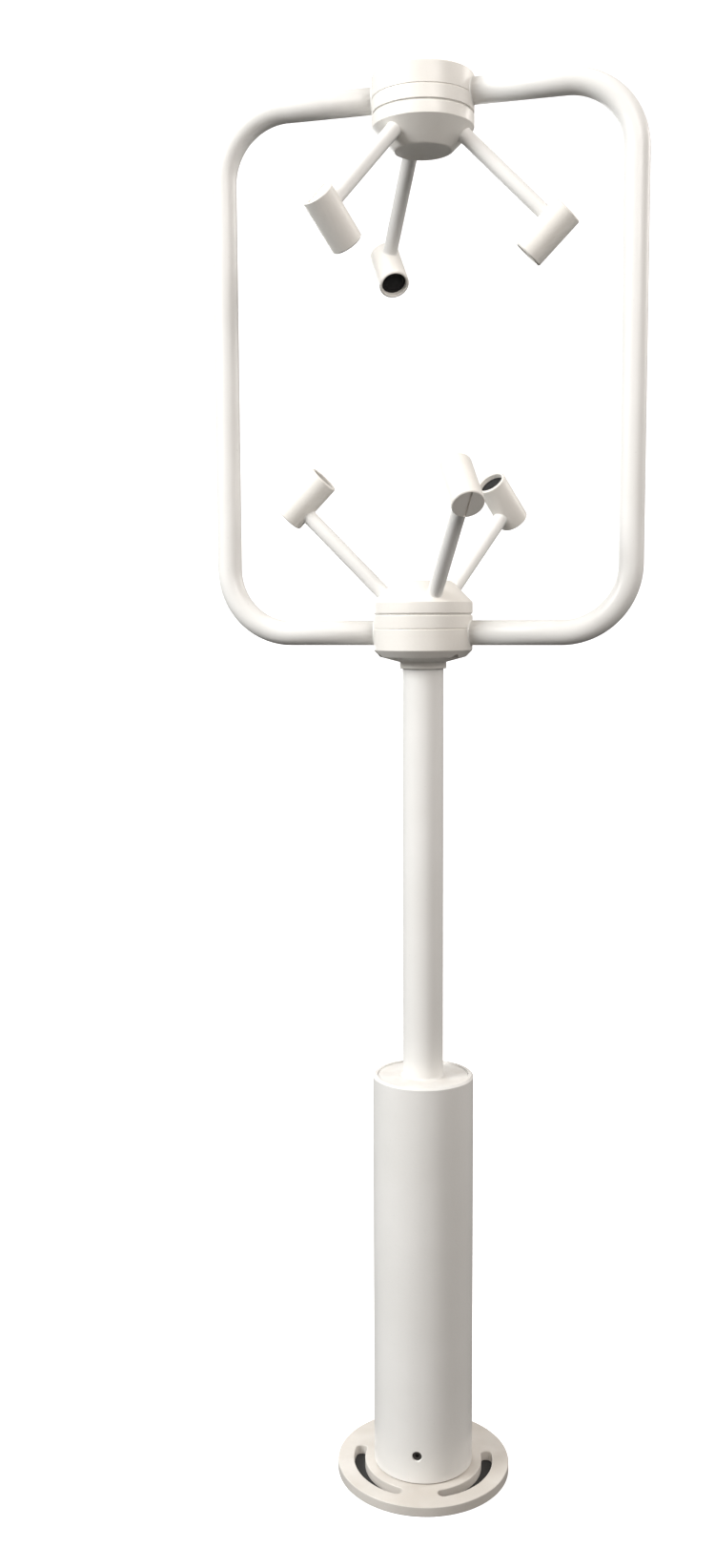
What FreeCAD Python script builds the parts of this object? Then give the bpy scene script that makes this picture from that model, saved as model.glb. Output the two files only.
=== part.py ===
import FreeCAD, Part
import math
import os
import re

import Sketcher

# Three-axis ultrasonic wind sensor. +Z is up, the origin is the centre of the flange's underside, and the
# frame loop lies in the XZ plane. Three pairs of transducer heads face each other across the loop's centre.

VECTOR = FreeCAD.Vector
X_AXIS = VECTOR(1, 0, 0)
Y_AXIS = VECTOR(0, 1, 0)
Z_AXIS = VECTOR(0, 0, 1)
HERE = FreeCAD.Placement()
THIRDS = (0, 120, 240)

doc = FreeCAD.newDocument("wind_sensor")
sheet = doc.addObject("Spreadsheet::Sheet", "Sizes")
derived = doc.addObject("App::VarSet", "Derived")

# Driving dimensions: millimetres and degrees.
SIZES = {
    # flange with its spigot
    "flange_radius": 55,
    "flange_thick": 6.5,
    "flange_edge": 0.6,
    "slot_radius": 41,
    "slot_width": 7,
    "slot_half_span": 39,
    "slot_first": 100,
    "spigot_height": 46,
    "groove_wall": 3,
    "spigot_edge": 1,
    "recess_inset": 3,
    "recess_depth": 26,
    "web_thick": 4,
    # grub screws and the groove that they ride in
    "grub_level": 25,
    "grub_radius": 3,
    "grub_sunk": 1.2,
    "grub_length": 2.1,
    "grub_first": -84,
    "tip_radius": 2.3,
    "tip_length": 2.8,
    "tip_gap": 0.4,
    "groove_half": 2.9,
    # sealing rings
    "ring_section": 1.2,
    "ring_room": 0.3,
    "ring_level": 38.5,
    # panel connector
    "plug_radius": 9,
    "plug_wall": 1.8,
    "plug_length": 14,
    "plug_flange": 11,
    "plug_flange_thick": 2,
    "plug_thread": 8,
    "plug_tail": 5,
    "insert_thick": 4,
    "pin_circle": 4.4,
    "pin_radius": 0.5,
    "pin_length": 23,
    "pin_sunk": 3,
    "panel_nut_corner": 11.5,
    "panel_nut_thick": 3,
    "lead_radius": 3,
    # housing
    "housing_radius": 31.5,
    "housing_wall": 3.5,
    "housing_top": 262,
    "housing_edge": 1.2,
    "cap_thick": 11,
    "cap_drop": 0.8,
    "cap_step": 0.5,
    "cap_edge": 0.5,
    "cap_ring_level": 5,
    # mast
    "mast_radius": 12.5,
    "mast_wall": 1.5,
    "mast_nut_room": 1.3,
    "mast_nut_thick": 5.5,
    "mast_nut_slot": 4,
    "mast_nut_notch": 2,
    # electronics chassis
    "rod_inset": 3.5,
    "rod_radius": 2,
    "rod_tail": 6,
    "spacer_radius": 3.2,
    "rod_nut_corner": 4,
    "rod_nut_thick": 2.5,
    "board_margin": 2,
    "board_thick": 1.6,
    "board_drop": 50.2,
    "board_pitch": 80,
    "lead_plug_radius": 6,
    "lead_plug_length": 12,
    "ribbon_width": 12,
    "ribbon_thick": 1.2,
    "ribbon_place": 17,
    # hubs
    "hub_level": 526.5,
    "hub_wall": 15.5,
    "hub_cavity_margin": 2,
    "dome_rim": 7.9,
    "hub_floor": 2.2,
    "hub_ledge": 1.2,
    "hub_line": 13,
    "hub_line_half": 0.4,
    "hub_line_depth": 0.5,
    "hub_edge": 0.8,
    "collar_wall": 1.7,
    "collar_depth": 11,
    "collar_neck": 7.1,
    "skirt_inset": 3.9,
    "skirt_depth": 3.9,
    "gasket_thick": 0.8,
    "gasket_inset": 0.8,
    "cone_width": 12.8,
    "cone_edge": 0.7,
    "register_wall": 2.5,
    "dome_roof": 7.8,
    "register_depth": 2,
    "hub_screw_inset": 5.4,
    "hub_screw_radius": 1.5,
    "hub_screw_head": 2.75,
    "hub_screw_head_height": 3,
    "hub_screw_seat": 4,
    "hub_screw_grip": 6.9,
    "hub_screw_room": 0.2,
    "screw_well_run": 20,
    "lid_ledge": 4.5,
    "lid_depth": 2,
    "lid_rise": 1,
    "lid_edge": 1.2,
    "lid_screw_inset": 2.6,
    "lid_screw_radius": 1.25,
    "lid_screw_head": 2.2,
    "lid_screw_length": 6,
    "lid_socket_corner": 1.025,
    "lid_socket_depth": 1,
    # frame loop
    "tube_radius": 7.5,
    "tube_wall": 1.2,
    "tube_floor": 3,
    "tube_roof": 3.1,
    "tube_end_gap": 0.5,
    "bend_radius": 40,
    "loop_half_width": 124,
    "tube_ring_section": 0.6,
    "tube_ring_step": 2.2,
    "tube_ring_half": 0.7,
    "set_screw_step": 4.3,
    "set_screw_radius": 1.5,
    "set_screw_length": 2.7,
    # heads and arms
    "path_length": 175,
    "path_angle": 45,
    "head_radius": 9.5,
    "head_wall": 1.8,
    "head_length": 33,
    "head_edge": 0.8,
    "lip_edge": 0.6,
    "face_recess": 3,
    "face_thick": 2,
    "core_gap": 0.8,
    "core_length": 11,
    "boss_radius": 2.5,
    "boss_length": 2,
    "arm_setback": 23,
    "arm_gap": 0.1,
    "arm_radius": 4.5,
    "arm_wall": 1,
    "arm_foot_inset": 5.4,
    "arm_sunk": 8.1,
    "wire_hole": 2.6,
    "wire_hole_length": 16,
    "plug_lip_inset": 0.9,
    "plug_lip_thick": 1.5,
    "plug_body_thick": 2.5,
    "plug_slot": 1.2,
    # wiring
    "mast_loom_radius": 3.5,
    "mast_loom_end": 14,
    "socket_radius": 5,
    "socket_height": 7,
    "loop_loom_radius": 2,
    "loop_loom_end": 3.5,
    "head_lead_radius": 0.9,
    "head_lead_bend": 5,
    "head_lead_end": 9,
    # clearances, and how far a cutting tool runs past the face that it leaves
    "tool_run": 1,
    "turn_gap": 0.05,
    "face_gap": 0.3,
    "fit_gap": 0.03,
}

# Places that follow from the driving dimensions.
DERIVED = {
    # base and housing
    "housing_bore": "housing_radius - housing_wall",
    "spigot_radius": "housing_radius - housing_wall - turn_gap",
    "groove_floor": "housing_radius - grub_sunk - grub_length - tip_length - tip_gap",
    "spigot_bore": "groove_floor - groove_wall",
    "recess_radius": "spigot_bore - recess_inset",
    "ring_floor": "spigot_radius - 2 * ring_section",
    "cap_seat": "housing_top - cap_drop - cap_thick",
    "cap_radius": "housing_bore + cap_step - fit_gap",
    "cap_ring_floor": "cap_radius - 2 * ring_section",
    # chassis and mast
    "board_radius": "housing_bore - board_margin",
    "rod_circle": "board_radius - rod_inset",
    "upper_board_level": "cap_seat - board_drop",
    "lower_board_level": "upper_board_level - board_pitch",
    "rod_foot": "lower_board_level - rod_tail",
    "mast_nut_radius": "rod_circle - spacer_radius - mast_nut_room",
    "mast_foot": "cap_seat - mast_nut_thick",
    # hubs
    "collar_radius": "mast_radius + collar_wall",
    "hub_cavity": "mast_radius + hub_cavity_margin",
    "hub_radius": "hub_cavity + hub_wall",
    "skirt_radius": "hub_radius - skirt_inset",
    "tube_level": "tube_radius + tube_floor",
    "hub_part": "tube_level + tube_radius + tube_roof",
    "hub_height": "hub_part + dome_rim",
    "cone_top_radius": "hub_radius - cone_width",
    "cone_top": "hub_height + cone_width",
    "dome_base": "hub_part + gasket_thick",
    "dome_cavity": "hub_cavity - register_wall",
    "hub_screw_circle": "hub_radius - hub_screw_inset",
    "hub_screw_length": "hub_part + hub_screw_grip - hub_screw_seat",
    "lid_radius": "hub_cavity + lid_ledge",
    "lid_screw_circle": "lid_radius - lid_screw_inset",
    "tube_end": "hub_cavity + tube_end_gap",
    "tube_ring_place": "lid_radius + tube_ring_step",
    "set_screw_place": "tube_ring_place + set_screw_step",
    # heads, arms and the loop that they set
    "head_bore": "head_radius - head_wall",
    "core_radius": "head_bore - core_gap",
    "plug_lip": "head_radius - plug_lip_inset",
    "arm_foot_radius": "hub_radius - arm_foot_inset",
    "arm_root_radius": "arm_foot_radius - arm_sunk",
    "station": "path_length / 2 + arm_setback",
    "arm_length": "(station * cos(path_angle) - arm_root_radius) / sin(path_angle)",
    "arm_start": "head_bore + arm_gap",
    "foot_depth": "station * sin(path_angle) + "
                  "(station * cos(path_angle) - arm_foot_radius) / tan(path_angle)",
    "hub_reach": "foot_depth + hub_height + hub_radius - arm_foot_radius",
    "path_centre": "hub_level + hub_reach",
    "loop_half_height": "hub_reach - tube_level",
}

nodes = {}


def bound(expression):
    """Point every name in an expression at the sheet or at the derived places."""
    def owner(found):
        name = found.group(0)
        return ("Derived." if name in DERIVED else "Sizes.") + name
    return re.sub(r"\b[a-z]+_[a-z_]+[a-z]\b|\bstation\b", owner, expression)


def value(name):
    """The number behind a size or a derived place."""
    if name in DERIVED:
        return getattr(derived, name)
    return float(sheet.get(name))


def fill_sheet():
    for row, (name, number) in enumerate(SIZES.items(), start=1):
        sheet.set(f"A{row}", name)
        sheet.set(f"B{row}", str(number))
        sheet.setAlias(f"B{row}", name)
    doc.recompute()
    for name, expression in DERIVED.items():
        derived.addProperty("App::PropertyFloat", name)
        derived.setExpression(name, bound(expression))
    doc.recompute()


def at(point, axis=Z_AXIS):
    """A placement that stands local +Z along an axis."""
    return FreeCAD.Placement(point, FreeCAD.Rotation(Z_AXIS, axis))


def polar(radius, degrees, level=0.0):
    angle = math.radians(degrees)
    return VECTOR(radius * math.cos(angle), radius * math.sin(angle), level)


def keep(feature, node, placement=HERE):
    """Name a finished sub-part and put it in its place."""
    feature.Label = node
    nodes[node] = feature
    feature.Placement = placement
    return feature


def new_sketch(body, role, name):
    sketch = body.newObject("Sketcher::SketchObject", name)
    plane = [feature for feature in body.Origin.OriginFeatures if feature.Role == role][0]
    sketch.AttachmentSupport = [(plane, "")]
    sketch.MapMode = "FlatFace"
    return sketch


def constrain(sketch, kind, geometry, point, expression):
    """Bind a distance from the sketch's origin, or a radius when there is no point."""
    if expression == "0":
        axis = -2 if kind == "DistanceX" else -1
        sketch.addConstraint(Sketcher.Constraint("PointOnObject", geometry, point, axis))
        return
    places = (geometry,) if point is None else (geometry, point)
    number = sketch.addConstraint(Sketcher.Constraint(kind, *places, 1.0))
    sketch.setExpression(f"Constraints[{number}]", bound(expression))


def outline(sketch, corners):
    """A closed polygon whose corners are bound to the sheet."""
    first = sketch.GeometryCount
    count = len(corners)
    spread = [VECTOR(30, 30, 0) + polar(10, 360 * k / count) for k in range(count)]
    for k in range(count):
        sketch.addGeometry(Part.LineSegment(spread[k], spread[(k + 1) % count]))
    for k in range(count):
        sketch.addConstraint(Sketcher.Constraint("Coincident", first + k, 2, first + (k + 1) % count, 1))
    for k, (across, up) in enumerate(corners):
        constrain(sketch, "DistanceX", first + k, 1, across)
        constrain(sketch, "DistanceY", first + k, 1, up)


def revolved(name, corners):
    """A body turned about Z from a profile of (radius, height) corners."""
    body = doc.addObject("PartDesign::Body", name)
    sketch = new_sketch(body, "XZ_Plane", name + "_profile")
    outline(sketch, corners)
    turned = body.newObject("PartDesign::Revolution", name + "_turned")
    turned.Profile = (sketch, [""])
    turned.ReferenceAxis = (sketch, ["V_Axis"])
    turned.Angle = 360
    return body


def cylinder(name, radius, height, placement=HERE):
    feature = doc.addObject("Part::Cylinder", name)
    feature.setExpression("Radius", bound(radius))
    feature.setExpression("Height", bound(height))
    feature.Placement = placement
    return feature


def hexagon(name, corner, height, placement=HERE):
    feature = doc.addObject("Part::Prism", name)
    feature.Polygon = 6
    feature.setExpression("Circumradius", bound(corner))
    feature.setExpression("Height", bound(height))
    feature.Placement = placement
    return feature


def block(name, length, width, height, placement=HERE):
    feature = doc.addObject("Part::Box", name)
    feature.setExpression("Length", bound(length))
    feature.setExpression("Width", bound(width))
    feature.setExpression("Height", bound(height))
    feature.Placement = placement
    return feature


def torus(name, circle, section, placement=HERE):
    feature = doc.addObject("Part::Torus", name)
    feature.setExpression("Radius1", bound(circle))
    feature.setExpression("Radius2", bound(section))
    feature.Placement = placement
    return feature


def cut(name, base, tools):
    """Take the tools out of a base."""
    tool = tools[0]
    if len(tools) > 1:
        tool = doc.addObject("Part::MultiFuse", name + "_tools")
        tool.Shapes = tools
    feature = doc.addObject("Part::Cut", name)
    feature.Base = base
    feature.Tool = tool
    return feature


def group(name, pieces):
    """Identical small pieces that share one node, each a solid of its own."""
    feature = doc.addObject("Part::Compound", name)
    feature.Links = pieces
    return feature


def pipe(name, section, start, draw):
    """A body swept along a path sketch in XZ from rings at start, the bound (x, z) of its first end."""
    body = doc.addObject("PartDesign::Body", name)
    path = new_sketch(body, "XZ_Plane", name + "_path")
    draw(path)
    profile = new_sketch(body, "YZ_Plane", name + "_section")
    profile.setExpression("AttachmentOffset.Base.z", bound(start[0]))
    for radius in section:
        circle = profile.addGeometry(Part.Circle(VECTOR(0, 1, 0), Z_AXIS, 1))
        constrain(profile, "DistanceX", circle, 3, "0")
        constrain(profile, "DistanceY", circle, 3, start[1])
        constrain(profile, "Radius", circle, None, radius)
    swept = body.newObject("PartDesign::AdditivePipe", name + "_swept")
    swept.Profile = (profile, [""])
    swept.Spine = (path, [f"Edge{k + 1}" for k in range(path.GeometryCount)])
    return body


# --- base: stays on the mount ---------------------------------------------------------------------------

def slot_pattern(body):
    """Curved slots through the flange, evenly spaced."""
    middle = value("slot_radius")
    half = value("slot_width") / 2
    span = math.radians(value("slot_half_span"))
    sketch = new_sketch(body, "XY_Plane", "slot_outline")
    sketch.setExpression("AttachmentOffset.Rotation.Angle", bound("slot_first"))
    for radius in (middle + half, middle - half):
        sketch.addGeometry(Part.ArcOfCircle(Part.Circle(VECTOR(), Z_AXIS, radius), -span, span))
    for side in (-1, 1):
        centre = VECTOR(middle * math.cos(span), side * middle * math.sin(span), 0)
        start = side * span if side > 0 else side * span - math.pi
        sketch.addGeometry(Part.ArcOfCircle(Part.Circle(centre, Z_AXIS, half), start, start + math.pi))
    joins = ((0, 2, 3, 1), (3, 2, 1, 2), (1, 1, 2, 1), (2, 2, 0, 1))
    for join in joins:
        sketch.addConstraint(Sketcher.Constraint("Tangent", *join))
    for arc in (0, 1):
        sketch.addConstraint(Sketcher.Constraint("Coincident", arc, 3, -1, 1))
    constrain(sketch, "Radius", 0, None, "slot_radius + slot_width / 2")
    constrain(sketch, "Radius", 1, None, "slot_radius - slot_width / 2")
    constrain(sketch, "DistanceY", 2, 3, "-slot_radius * sin(slot_half_span)")
    constrain(sketch, "DistanceY", 3, 3, "slot_radius * sin(slot_half_span)")
    pocket = body.newObject("PartDesign::Pocket", "slot")
    pocket.Profile = (sketch, [""])
    pocket.Midplane = True
    pocket.setExpression("Length", bound("2 * flange_thick + 2 * tool_run"))
    pattern = body.newObject("PartDesign::PolarPattern", "slots")
    pattern.Originals = [pocket]
    pattern.Axis = (sketch, ["N_Axis"])
    pattern.Angle = 360
    pattern.Occurrences = 3
    body.Tip = pattern


def base_flange():
    """Round flange with slots, a spigot with two grooves, and a recess for the plug under a web."""
    web_top = "recess_depth + web_thick"
    body = revolved("base_flange", [
        ("recess_radius", "0"),
        ("flange_radius - flange_edge", "0"),
        ("flange_radius", "flange_edge"),
        ("flange_radius", "flange_thick - flange_edge"),
        ("flange_radius - flange_edge", "flange_thick"),
        ("spigot_radius", "flange_thick"),
        ("spigot_radius", "grub_level - groove_half"),
        ("groove_floor", "grub_level - groove_half"),
        ("groove_floor", "grub_level + groove_half"),
        ("spigot_radius", "grub_level + groove_half"),
        ("spigot_radius", "ring_level - ring_section - ring_room"),
        ("ring_floor", "ring_level - ring_section - ring_room"),
        ("ring_floor", "ring_level + ring_section + ring_room"),
        ("spigot_radius", "ring_level + ring_section + ring_room"),
        ("spigot_radius", "spigot_height - spigot_edge"),
        ("spigot_radius - spigot_edge", "spigot_height"),
        ("spigot_bore", "spigot_height"),
        ("spigot_bore", web_top),
        ("plug_thread + fit_gap", web_top),
        ("plug_thread + fit_gap", "recess_depth"),
        ("recess_radius", "recess_depth"),
    ])
    doc.recompute()
    slot_pattern(body)
    keep(body, "base_flange")


def base_ring():
    """Sealing ring in the spigot's upper groove."""
    ring = torus("spigot_ring", "ring_floor + ring_section", "ring_section")
    keep(ring, "base_oring", at(VECTOR(0, 0, value("ring_level"))))


def connector():
    """Panel connector that hangs from the web, with its mouth facing down inside the recess."""
    depth = value("recess_depth")
    mouth = "recess_depth - plug_flange_thick - plug_length"
    shell = revolved("shell", [
        ("plug_radius - plug_wall", mouth),
        ("plug_radius", mouth),
        ("plug_radius", "recess_depth - plug_flange_thick"),
        ("plug_flange", "recess_depth - plug_flange_thick"),
        ("plug_flange", "recess_depth"),
        ("plug_thread", "recess_depth"),
        ("plug_thread", "recess_depth + web_thick + plug_tail"),
        ("plug_radius - plug_wall", "recess_depth + web_thick + plug_tail"),
    ])
    keep(shell, "connector_shell")

    face = depth - value("insert_thick")
    disc = cylinder("insert_disc", "plug_radius - plug_wall - fit_gap", "insert_thick",
                    at(VECTOR(0, 0, face)))
    spots = [polar(value("pin_circle"), turn, face - value("pin_sunk")) for turn in range(0, 360, 45)]
    holes = [cylinder(f"pin_hole_{k}", "pin_radius + fit_gap", "insert_thick + 2 * pin_sunk", at(spot))
             for k, spot in enumerate(spots)]
    keep(cut("insert", disc, holes), "connector_insert")

    low = VECTOR(0, 0, value("pin_sunk") + value("insert_thick") - value("pin_length") / 2)
    pins = [cylinder(f"pin_{k}", "pin_radius", "pin_length", at(spot + low)) for k, spot in enumerate(spots)]
    keep(group("pins", pins), "connector_pins")

    seat = at(VECTOR(0, 0, depth + value("web_thick")))
    nut = hexagon("panel_nut", "panel_nut_corner", "panel_nut_thick", seat)
    bore = cylinder("panel_nut_bore", "plug_thread + fit_gap", "panel_nut_thick", seat)
    keep(cut("panel_nut_bored", nut, [bore]), "connector_nut")


def base_lead():
    """Straight lead on the turning axis, from the insert to just under the board's plug."""
    top = "lower_board_level - lead_plug_length - face_gap"
    lead = cylinder("lead", "lead_radius", top + " - recess_depth")
    keep(lead, "base_lead", at(VECTOR(0, 0, value("recess_depth"))))


# --- housing --------------------------------------------------------------------------------------------

def grub_directions():
    return [value("grub_first") + turn for turn in THIRDS]


def housing_tube():
    """Thick tube with a step for the cap and three holes for the grub screws."""
    body = revolved("housing", [
        ("housing_bore", "flange_thick + face_gap"),
        ("housing_radius - flange_edge", "flange_thick + face_gap"),
        ("housing_radius", "flange_thick + face_gap + flange_edge"),
        ("housing_radius", "housing_top - housing_edge"),
        ("housing_radius - housing_edge", "housing_top"),
        ("housing_bore + cap_step", "housing_top"),
        ("housing_bore + cap_step", "cap_seat"),
        ("housing_bore", "cap_seat"),
    ])
    holes = []
    for direction in grub_directions():
        start = polar(value("housing_bore") - value("tool_run"), direction, value("grub_level"))
        holes.append(cylinder("grub_hole", "grub_radius", "housing_wall + 2 * tool_run",
                              at(start, polar(1, direction))))
    keep(cut("housing_drilled", body, holes), "housing_tube")


def grub_screws():
    """Hexagon-socket grub screws with a dog point that reaches into the spigot's groove."""
    pieces = []
    for direction in grub_directions():
        screw = revolved("grub", [
            ("0", "0"),
            ("tip_radius", "0"),
            ("tip_radius", "tip_length"),
            ("grub_radius - fit_gap", "tip_length"),
            ("grub_radius - fit_gap", "tip_length + grub_length"),
            ("0", "tip_length + grub_length"),
        ])
        socket = hexagon("grub_socket", "grub_radius / 2", "grub_length",
                         at(VECTOR(0, 0, value("tip_length"))))
        piece = cut("grub_cut", screw, [socket])
        start = polar(value("groove_floor") + value("tip_gap"), direction, value("grub_level"))
        piece.Placement = at(start, polar(1, direction))
        pieces.append(piece)
    keep(group("grubs", pieces), "grub_screws")


def housing_cap():
    """Cap that rests on a step inside the housing and carries the mast and the chassis rods."""
    low = "cap_seat + cap_ring_level - ring_section - ring_room"
    high = "cap_seat + cap_ring_level + ring_section + ring_room"
    body = revolved("cap", [
        ("mast_radius + fit_gap", "cap_seat"),
        ("cap_radius", "cap_seat"),
        ("cap_radius", low),
        ("cap_ring_floor", low),
        ("cap_ring_floor", high),
        ("cap_radius", high),
        ("cap_radius", "cap_seat + cap_thick - cap_edge"),
        ("cap_radius - cap_edge", "cap_seat + cap_thick"),
        ("mast_radius + fit_gap", "cap_seat + cap_thick"),
    ])
    keep(body, "housing_cap")
    ring = torus("cap_ring", "cap_ring_floor + ring_section", "ring_section")
    keep(ring, "cap_oring", at(VECTOR(0, 0, value("cap_seat") + value("cap_ring_level"))))


def mast():
    """Mast tube through the cap into the lower hub, with a notched nut under the cap."""
    body = revolved("mast", [
        ("mast_radius - mast_wall", "mast_foot"),
        ("mast_radius", "mast_foot"),
        ("mast_radius", "hub_level + hub_floor - hub_ledge"),
        ("mast_radius - mast_wall", "hub_level + hub_floor - hub_ledge"),
    ])
    keep(body, "mast_tube")
    seat = at(VECTOR(0, 0, value("mast_foot")))
    disc = cylinder("mast_nut_disc", "mast_nut_radius", "mast_nut_thick", seat)
    tools = [cylinder("mast_nut_bore", "mast_radius + fit_gap", "mast_nut_thick", seat)]
    for turn in (0, 90, 180, 270):
        start = polar(value("mast_nut_radius") - value("mast_nut_notch"), turn, value("mast_foot"))
        notch = block("mast_nut_notch", "mast_nut_slot", "mast_nut_slot", "mast_nut_thick")
        notch.Placement = FreeCAD.Placement(start, FreeCAD.Rotation(Z_AXIS, turn)).multiply(
            FreeCAD.Placement(VECTOR(0, -value("mast_nut_slot") / 2, 0), FreeCAD.Rotation()))
        tools.append(notch)
    keep(cut("mast_nut_cut", disc, tools), "mast_nut")


# --- electronics ----------------------------------------------------------------------------------------

def rod_spots(level):
    return [polar(value("rod_circle"), 30 + turn, level) for turn in THIRDS]


def chassis():
    """Three rods under the cap, with spacers and end nuts, that carry the two boards."""
    foot = value("rod_foot")
    rods = [cylinder("rod", "rod_radius", "cap_seat - rod_foot", at(spot)) for spot in rod_spots(foot)]
    keep(group("rods", rods), "chassis_rods")

    spacers = []
    spans = (("lower_board_level", "upper_board_level"), ("upper_board_level", "cap_seat"))
    for low, high in spans:
        length = f"{high} - {low} - board_thick"
        for spot in rod_spots(value(low) + value("board_thick")):
            tube = cylinder("spacer_tube", "spacer_radius", length, at(spot))
            bore = cylinder("spacer_bore", "rod_radius + fit_gap", length, at(spot))
            spacers.append(cut("spacer", tube, [bore]))
    keep(group("spacers", spacers), "board_spacers")

    nuts = []
    for spot in rod_spots(value("lower_board_level") - value("rod_nut_thick")):
        nut = hexagon("rod_nut_blank", "rod_nut_corner", "rod_nut_thick", at(spot))
        bore = cylinder("rod_nut_bore", "rod_radius + fit_gap", "rod_nut_thick", at(spot))
        nuts.append(cut("rod_nut", nut, [bore]))
    keep(group("nuts", nuts), "rod_nuts")


def board(node, level_name):
    """Round circuit board, drilled for the rods."""
    level = value(level_name)
    disc = cylinder(node + "_disc", "board_radius", "board_thick", at(VECTOR(0, 0, level)))
    holes = [cylinder(node + "_hole", "rod_radius + fit_gap", "board_thick", at(spot))
             for spot in rod_spots(level)]
    keep(cut(node + "_drilled", disc, holes), node)


def components(node, level_name, chips, cans):
    """Packages on a board's top: chips as (x, y, length, width, height), cans as (x, y, radius, height)."""
    top = value(level_name) + value("board_thick")
    pieces = []
    for x, y, length, width, height in chips:
        place = at(VECTOR(x - length / 2, y - width / 2, top))
        pieces.append(block(node + "_chip", str(length), str(width), str(height), place))
    for x, y, radius, height in cans:
        pieces.append(cylinder(node + "_can", str(radius), str(height), at(VECTOR(x, y, top))))
    keep(group(node + "_group", pieces), node)


def boards():
    """Two boards with their packages, the ribbon between them and the plug under the lower one."""
    board("board_upper", "upper_board_level")
    board("board_lower", "lower_board_level")
    upper_chips = [(-12, 1, 10, 10, 1.6), (12, -1, 9, 7, 1.4), (0, 13, 14, 5, 6), (-7, -14, 5, 4, 1.2)]
    upper_cans = [(0, 0, value("socket_radius"), value("socket_height")), (9, -9, 2, 4), (12, 7, 2, 4)]
    components("components_upper", "upper_board_level", upper_chips, upper_cans)
    lower_chips = [(0, 0, 12, 12, 1.6), (-14, 3, 7, 10, 4.5), (13, 2, 6, 9, 2.2), (3, 15, 12, 5, 6)]
    lower_cans = [(-9, 13, 3.2, 8), (11, -9, 2.5, 6), (-12, -8, 2.5, 6)]
    components("components_lower", "lower_board_level", lower_chips, lower_cans)

    top = value("lower_board_level") + value("board_thick")
    start = VECTOR(-value("ribbon_width") / 2, -value("ribbon_place"), top)
    length = "upper_board_level - lower_board_level - board_thick"
    keep(block("ribbon", "ribbon_width", "ribbon_thick", length), "board_ribbon", at(start))

    plug = cylinder("plug_under_board", "lead_plug_radius", "lead_plug_length")
    keep(plug, "lead_plug", at(VECTOR(0, 0, value("lower_board_level") - value("lead_plug_length"))))


# --- hubs -----------------------------------------------------------------------------------------------
# Both hubs use one local frame: z = 0 at the face away from the path centre, +z towards the centre.

SCREW_TURNS = (90, 210, 330)
LID_TURNS = (45, 135, 225, 315)
ARM_TURNS = (180, 300, 60)


def lower_hub_frame():
    return at(VECTOR(0, 0, value("hub_level")))


def upper_hub_frame():
    return FreeCAD.Placement(VECTOR(0, 0, value("path_centre") + value("hub_reach")),
                             FreeCAD.Rotation(Y_AXIS, 180))


def wall_corners():
    """The hub's outer wall with its turned line, up to the parting face and in to the cavity."""
    return [
        ("hub_radius", "hub_line - hub_line_half"),
        ("hub_radius - hub_line_depth", "hub_line - hub_line_half"),
        ("hub_radius - hub_line_depth", "hub_line + hub_line_half"),
        ("hub_radius", "hub_line + hub_line_half"),
        ("hub_radius", "hub_part"),
        ("hub_cavity", "hub_part"),
    ]


def socket_tools(name):
    """Frame-tube sockets along X with their ring grooves, and the set-screw holes into them."""
    level = value("tube_level")
    reach = value("hub_radius") + 2 * value("tool_run")
    tools = []
    for side in (-1, 1):
        axis = VECTOR(side, 0, 0)
        inner = VECTOR(side * (value("hub_cavity") - value("tool_run")), 0, level)
        tools.append(cylinder(name + "_socket", "tube_radius + fit_gap",
                              "hub_radius - hub_cavity + 3 * tool_run", at(inner, axis)))
        ring = VECTOR(side * (value("tube_ring_place") - value("tube_ring_half")), 0, level)
        tools.append(cylinder(name + "_ring", "tube_radius + 2 * tube_ring_section", "2 * tube_ring_half",
                              at(ring, axis)))
        low = VECTOR(side * value("set_screw_place"), 0, -reach + level)
        tools.append(cylinder(name + "_set", "set_screw_radius + fit_gap", "hub_radius + 2 * tool_run",
                              at(low)))
    return tools


def screw_tools(name):
    """Clearance holes and head recesses for the long hub screws."""
    tools = []
    for turn in SCREW_TURNS:
        low = polar(value("hub_screw_circle"), turn, value("hub_screw_seat") - value("screw_well_run"))
        tools.append(cylinder(name + "_head", "hub_screw_head + 2 * hub_screw_room", "screw_well_run",
                              at(low)))
        tools.append(cylinder(name + "_shank", "hub_screw_radius + hub_screw_room",
                              "screw_well_run + hub_part", at(low)))
    return tools


def lower_hub_body():
    """Hub that sockets the mast from below and the two frame tubes from the sides."""
    body = revolved("lower_hub", [
        ("mast_radius + fit_gap", "-collar_depth"),
        ("collar_radius", "-collar_depth"),
        ("collar_radius", "-collar_neck"),
        ("skirt_radius", "-skirt_depth"),
        ("hub_radius", "0"),
        *wall_corners(),
        ("hub_cavity", "hub_floor"),
        ("mast_radius - mast_wall", "hub_floor"),
        ("mast_radius - mast_wall", "hub_floor - hub_ledge"),
        ("mast_radius + fit_gap", "hub_floor - hub_ledge"),
    ])
    hub = cut("lower_hub_cut", body, socket_tools("lower") + screw_tools("lower"))
    keep(hub, "lower_hub_body", lower_hub_frame())


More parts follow.
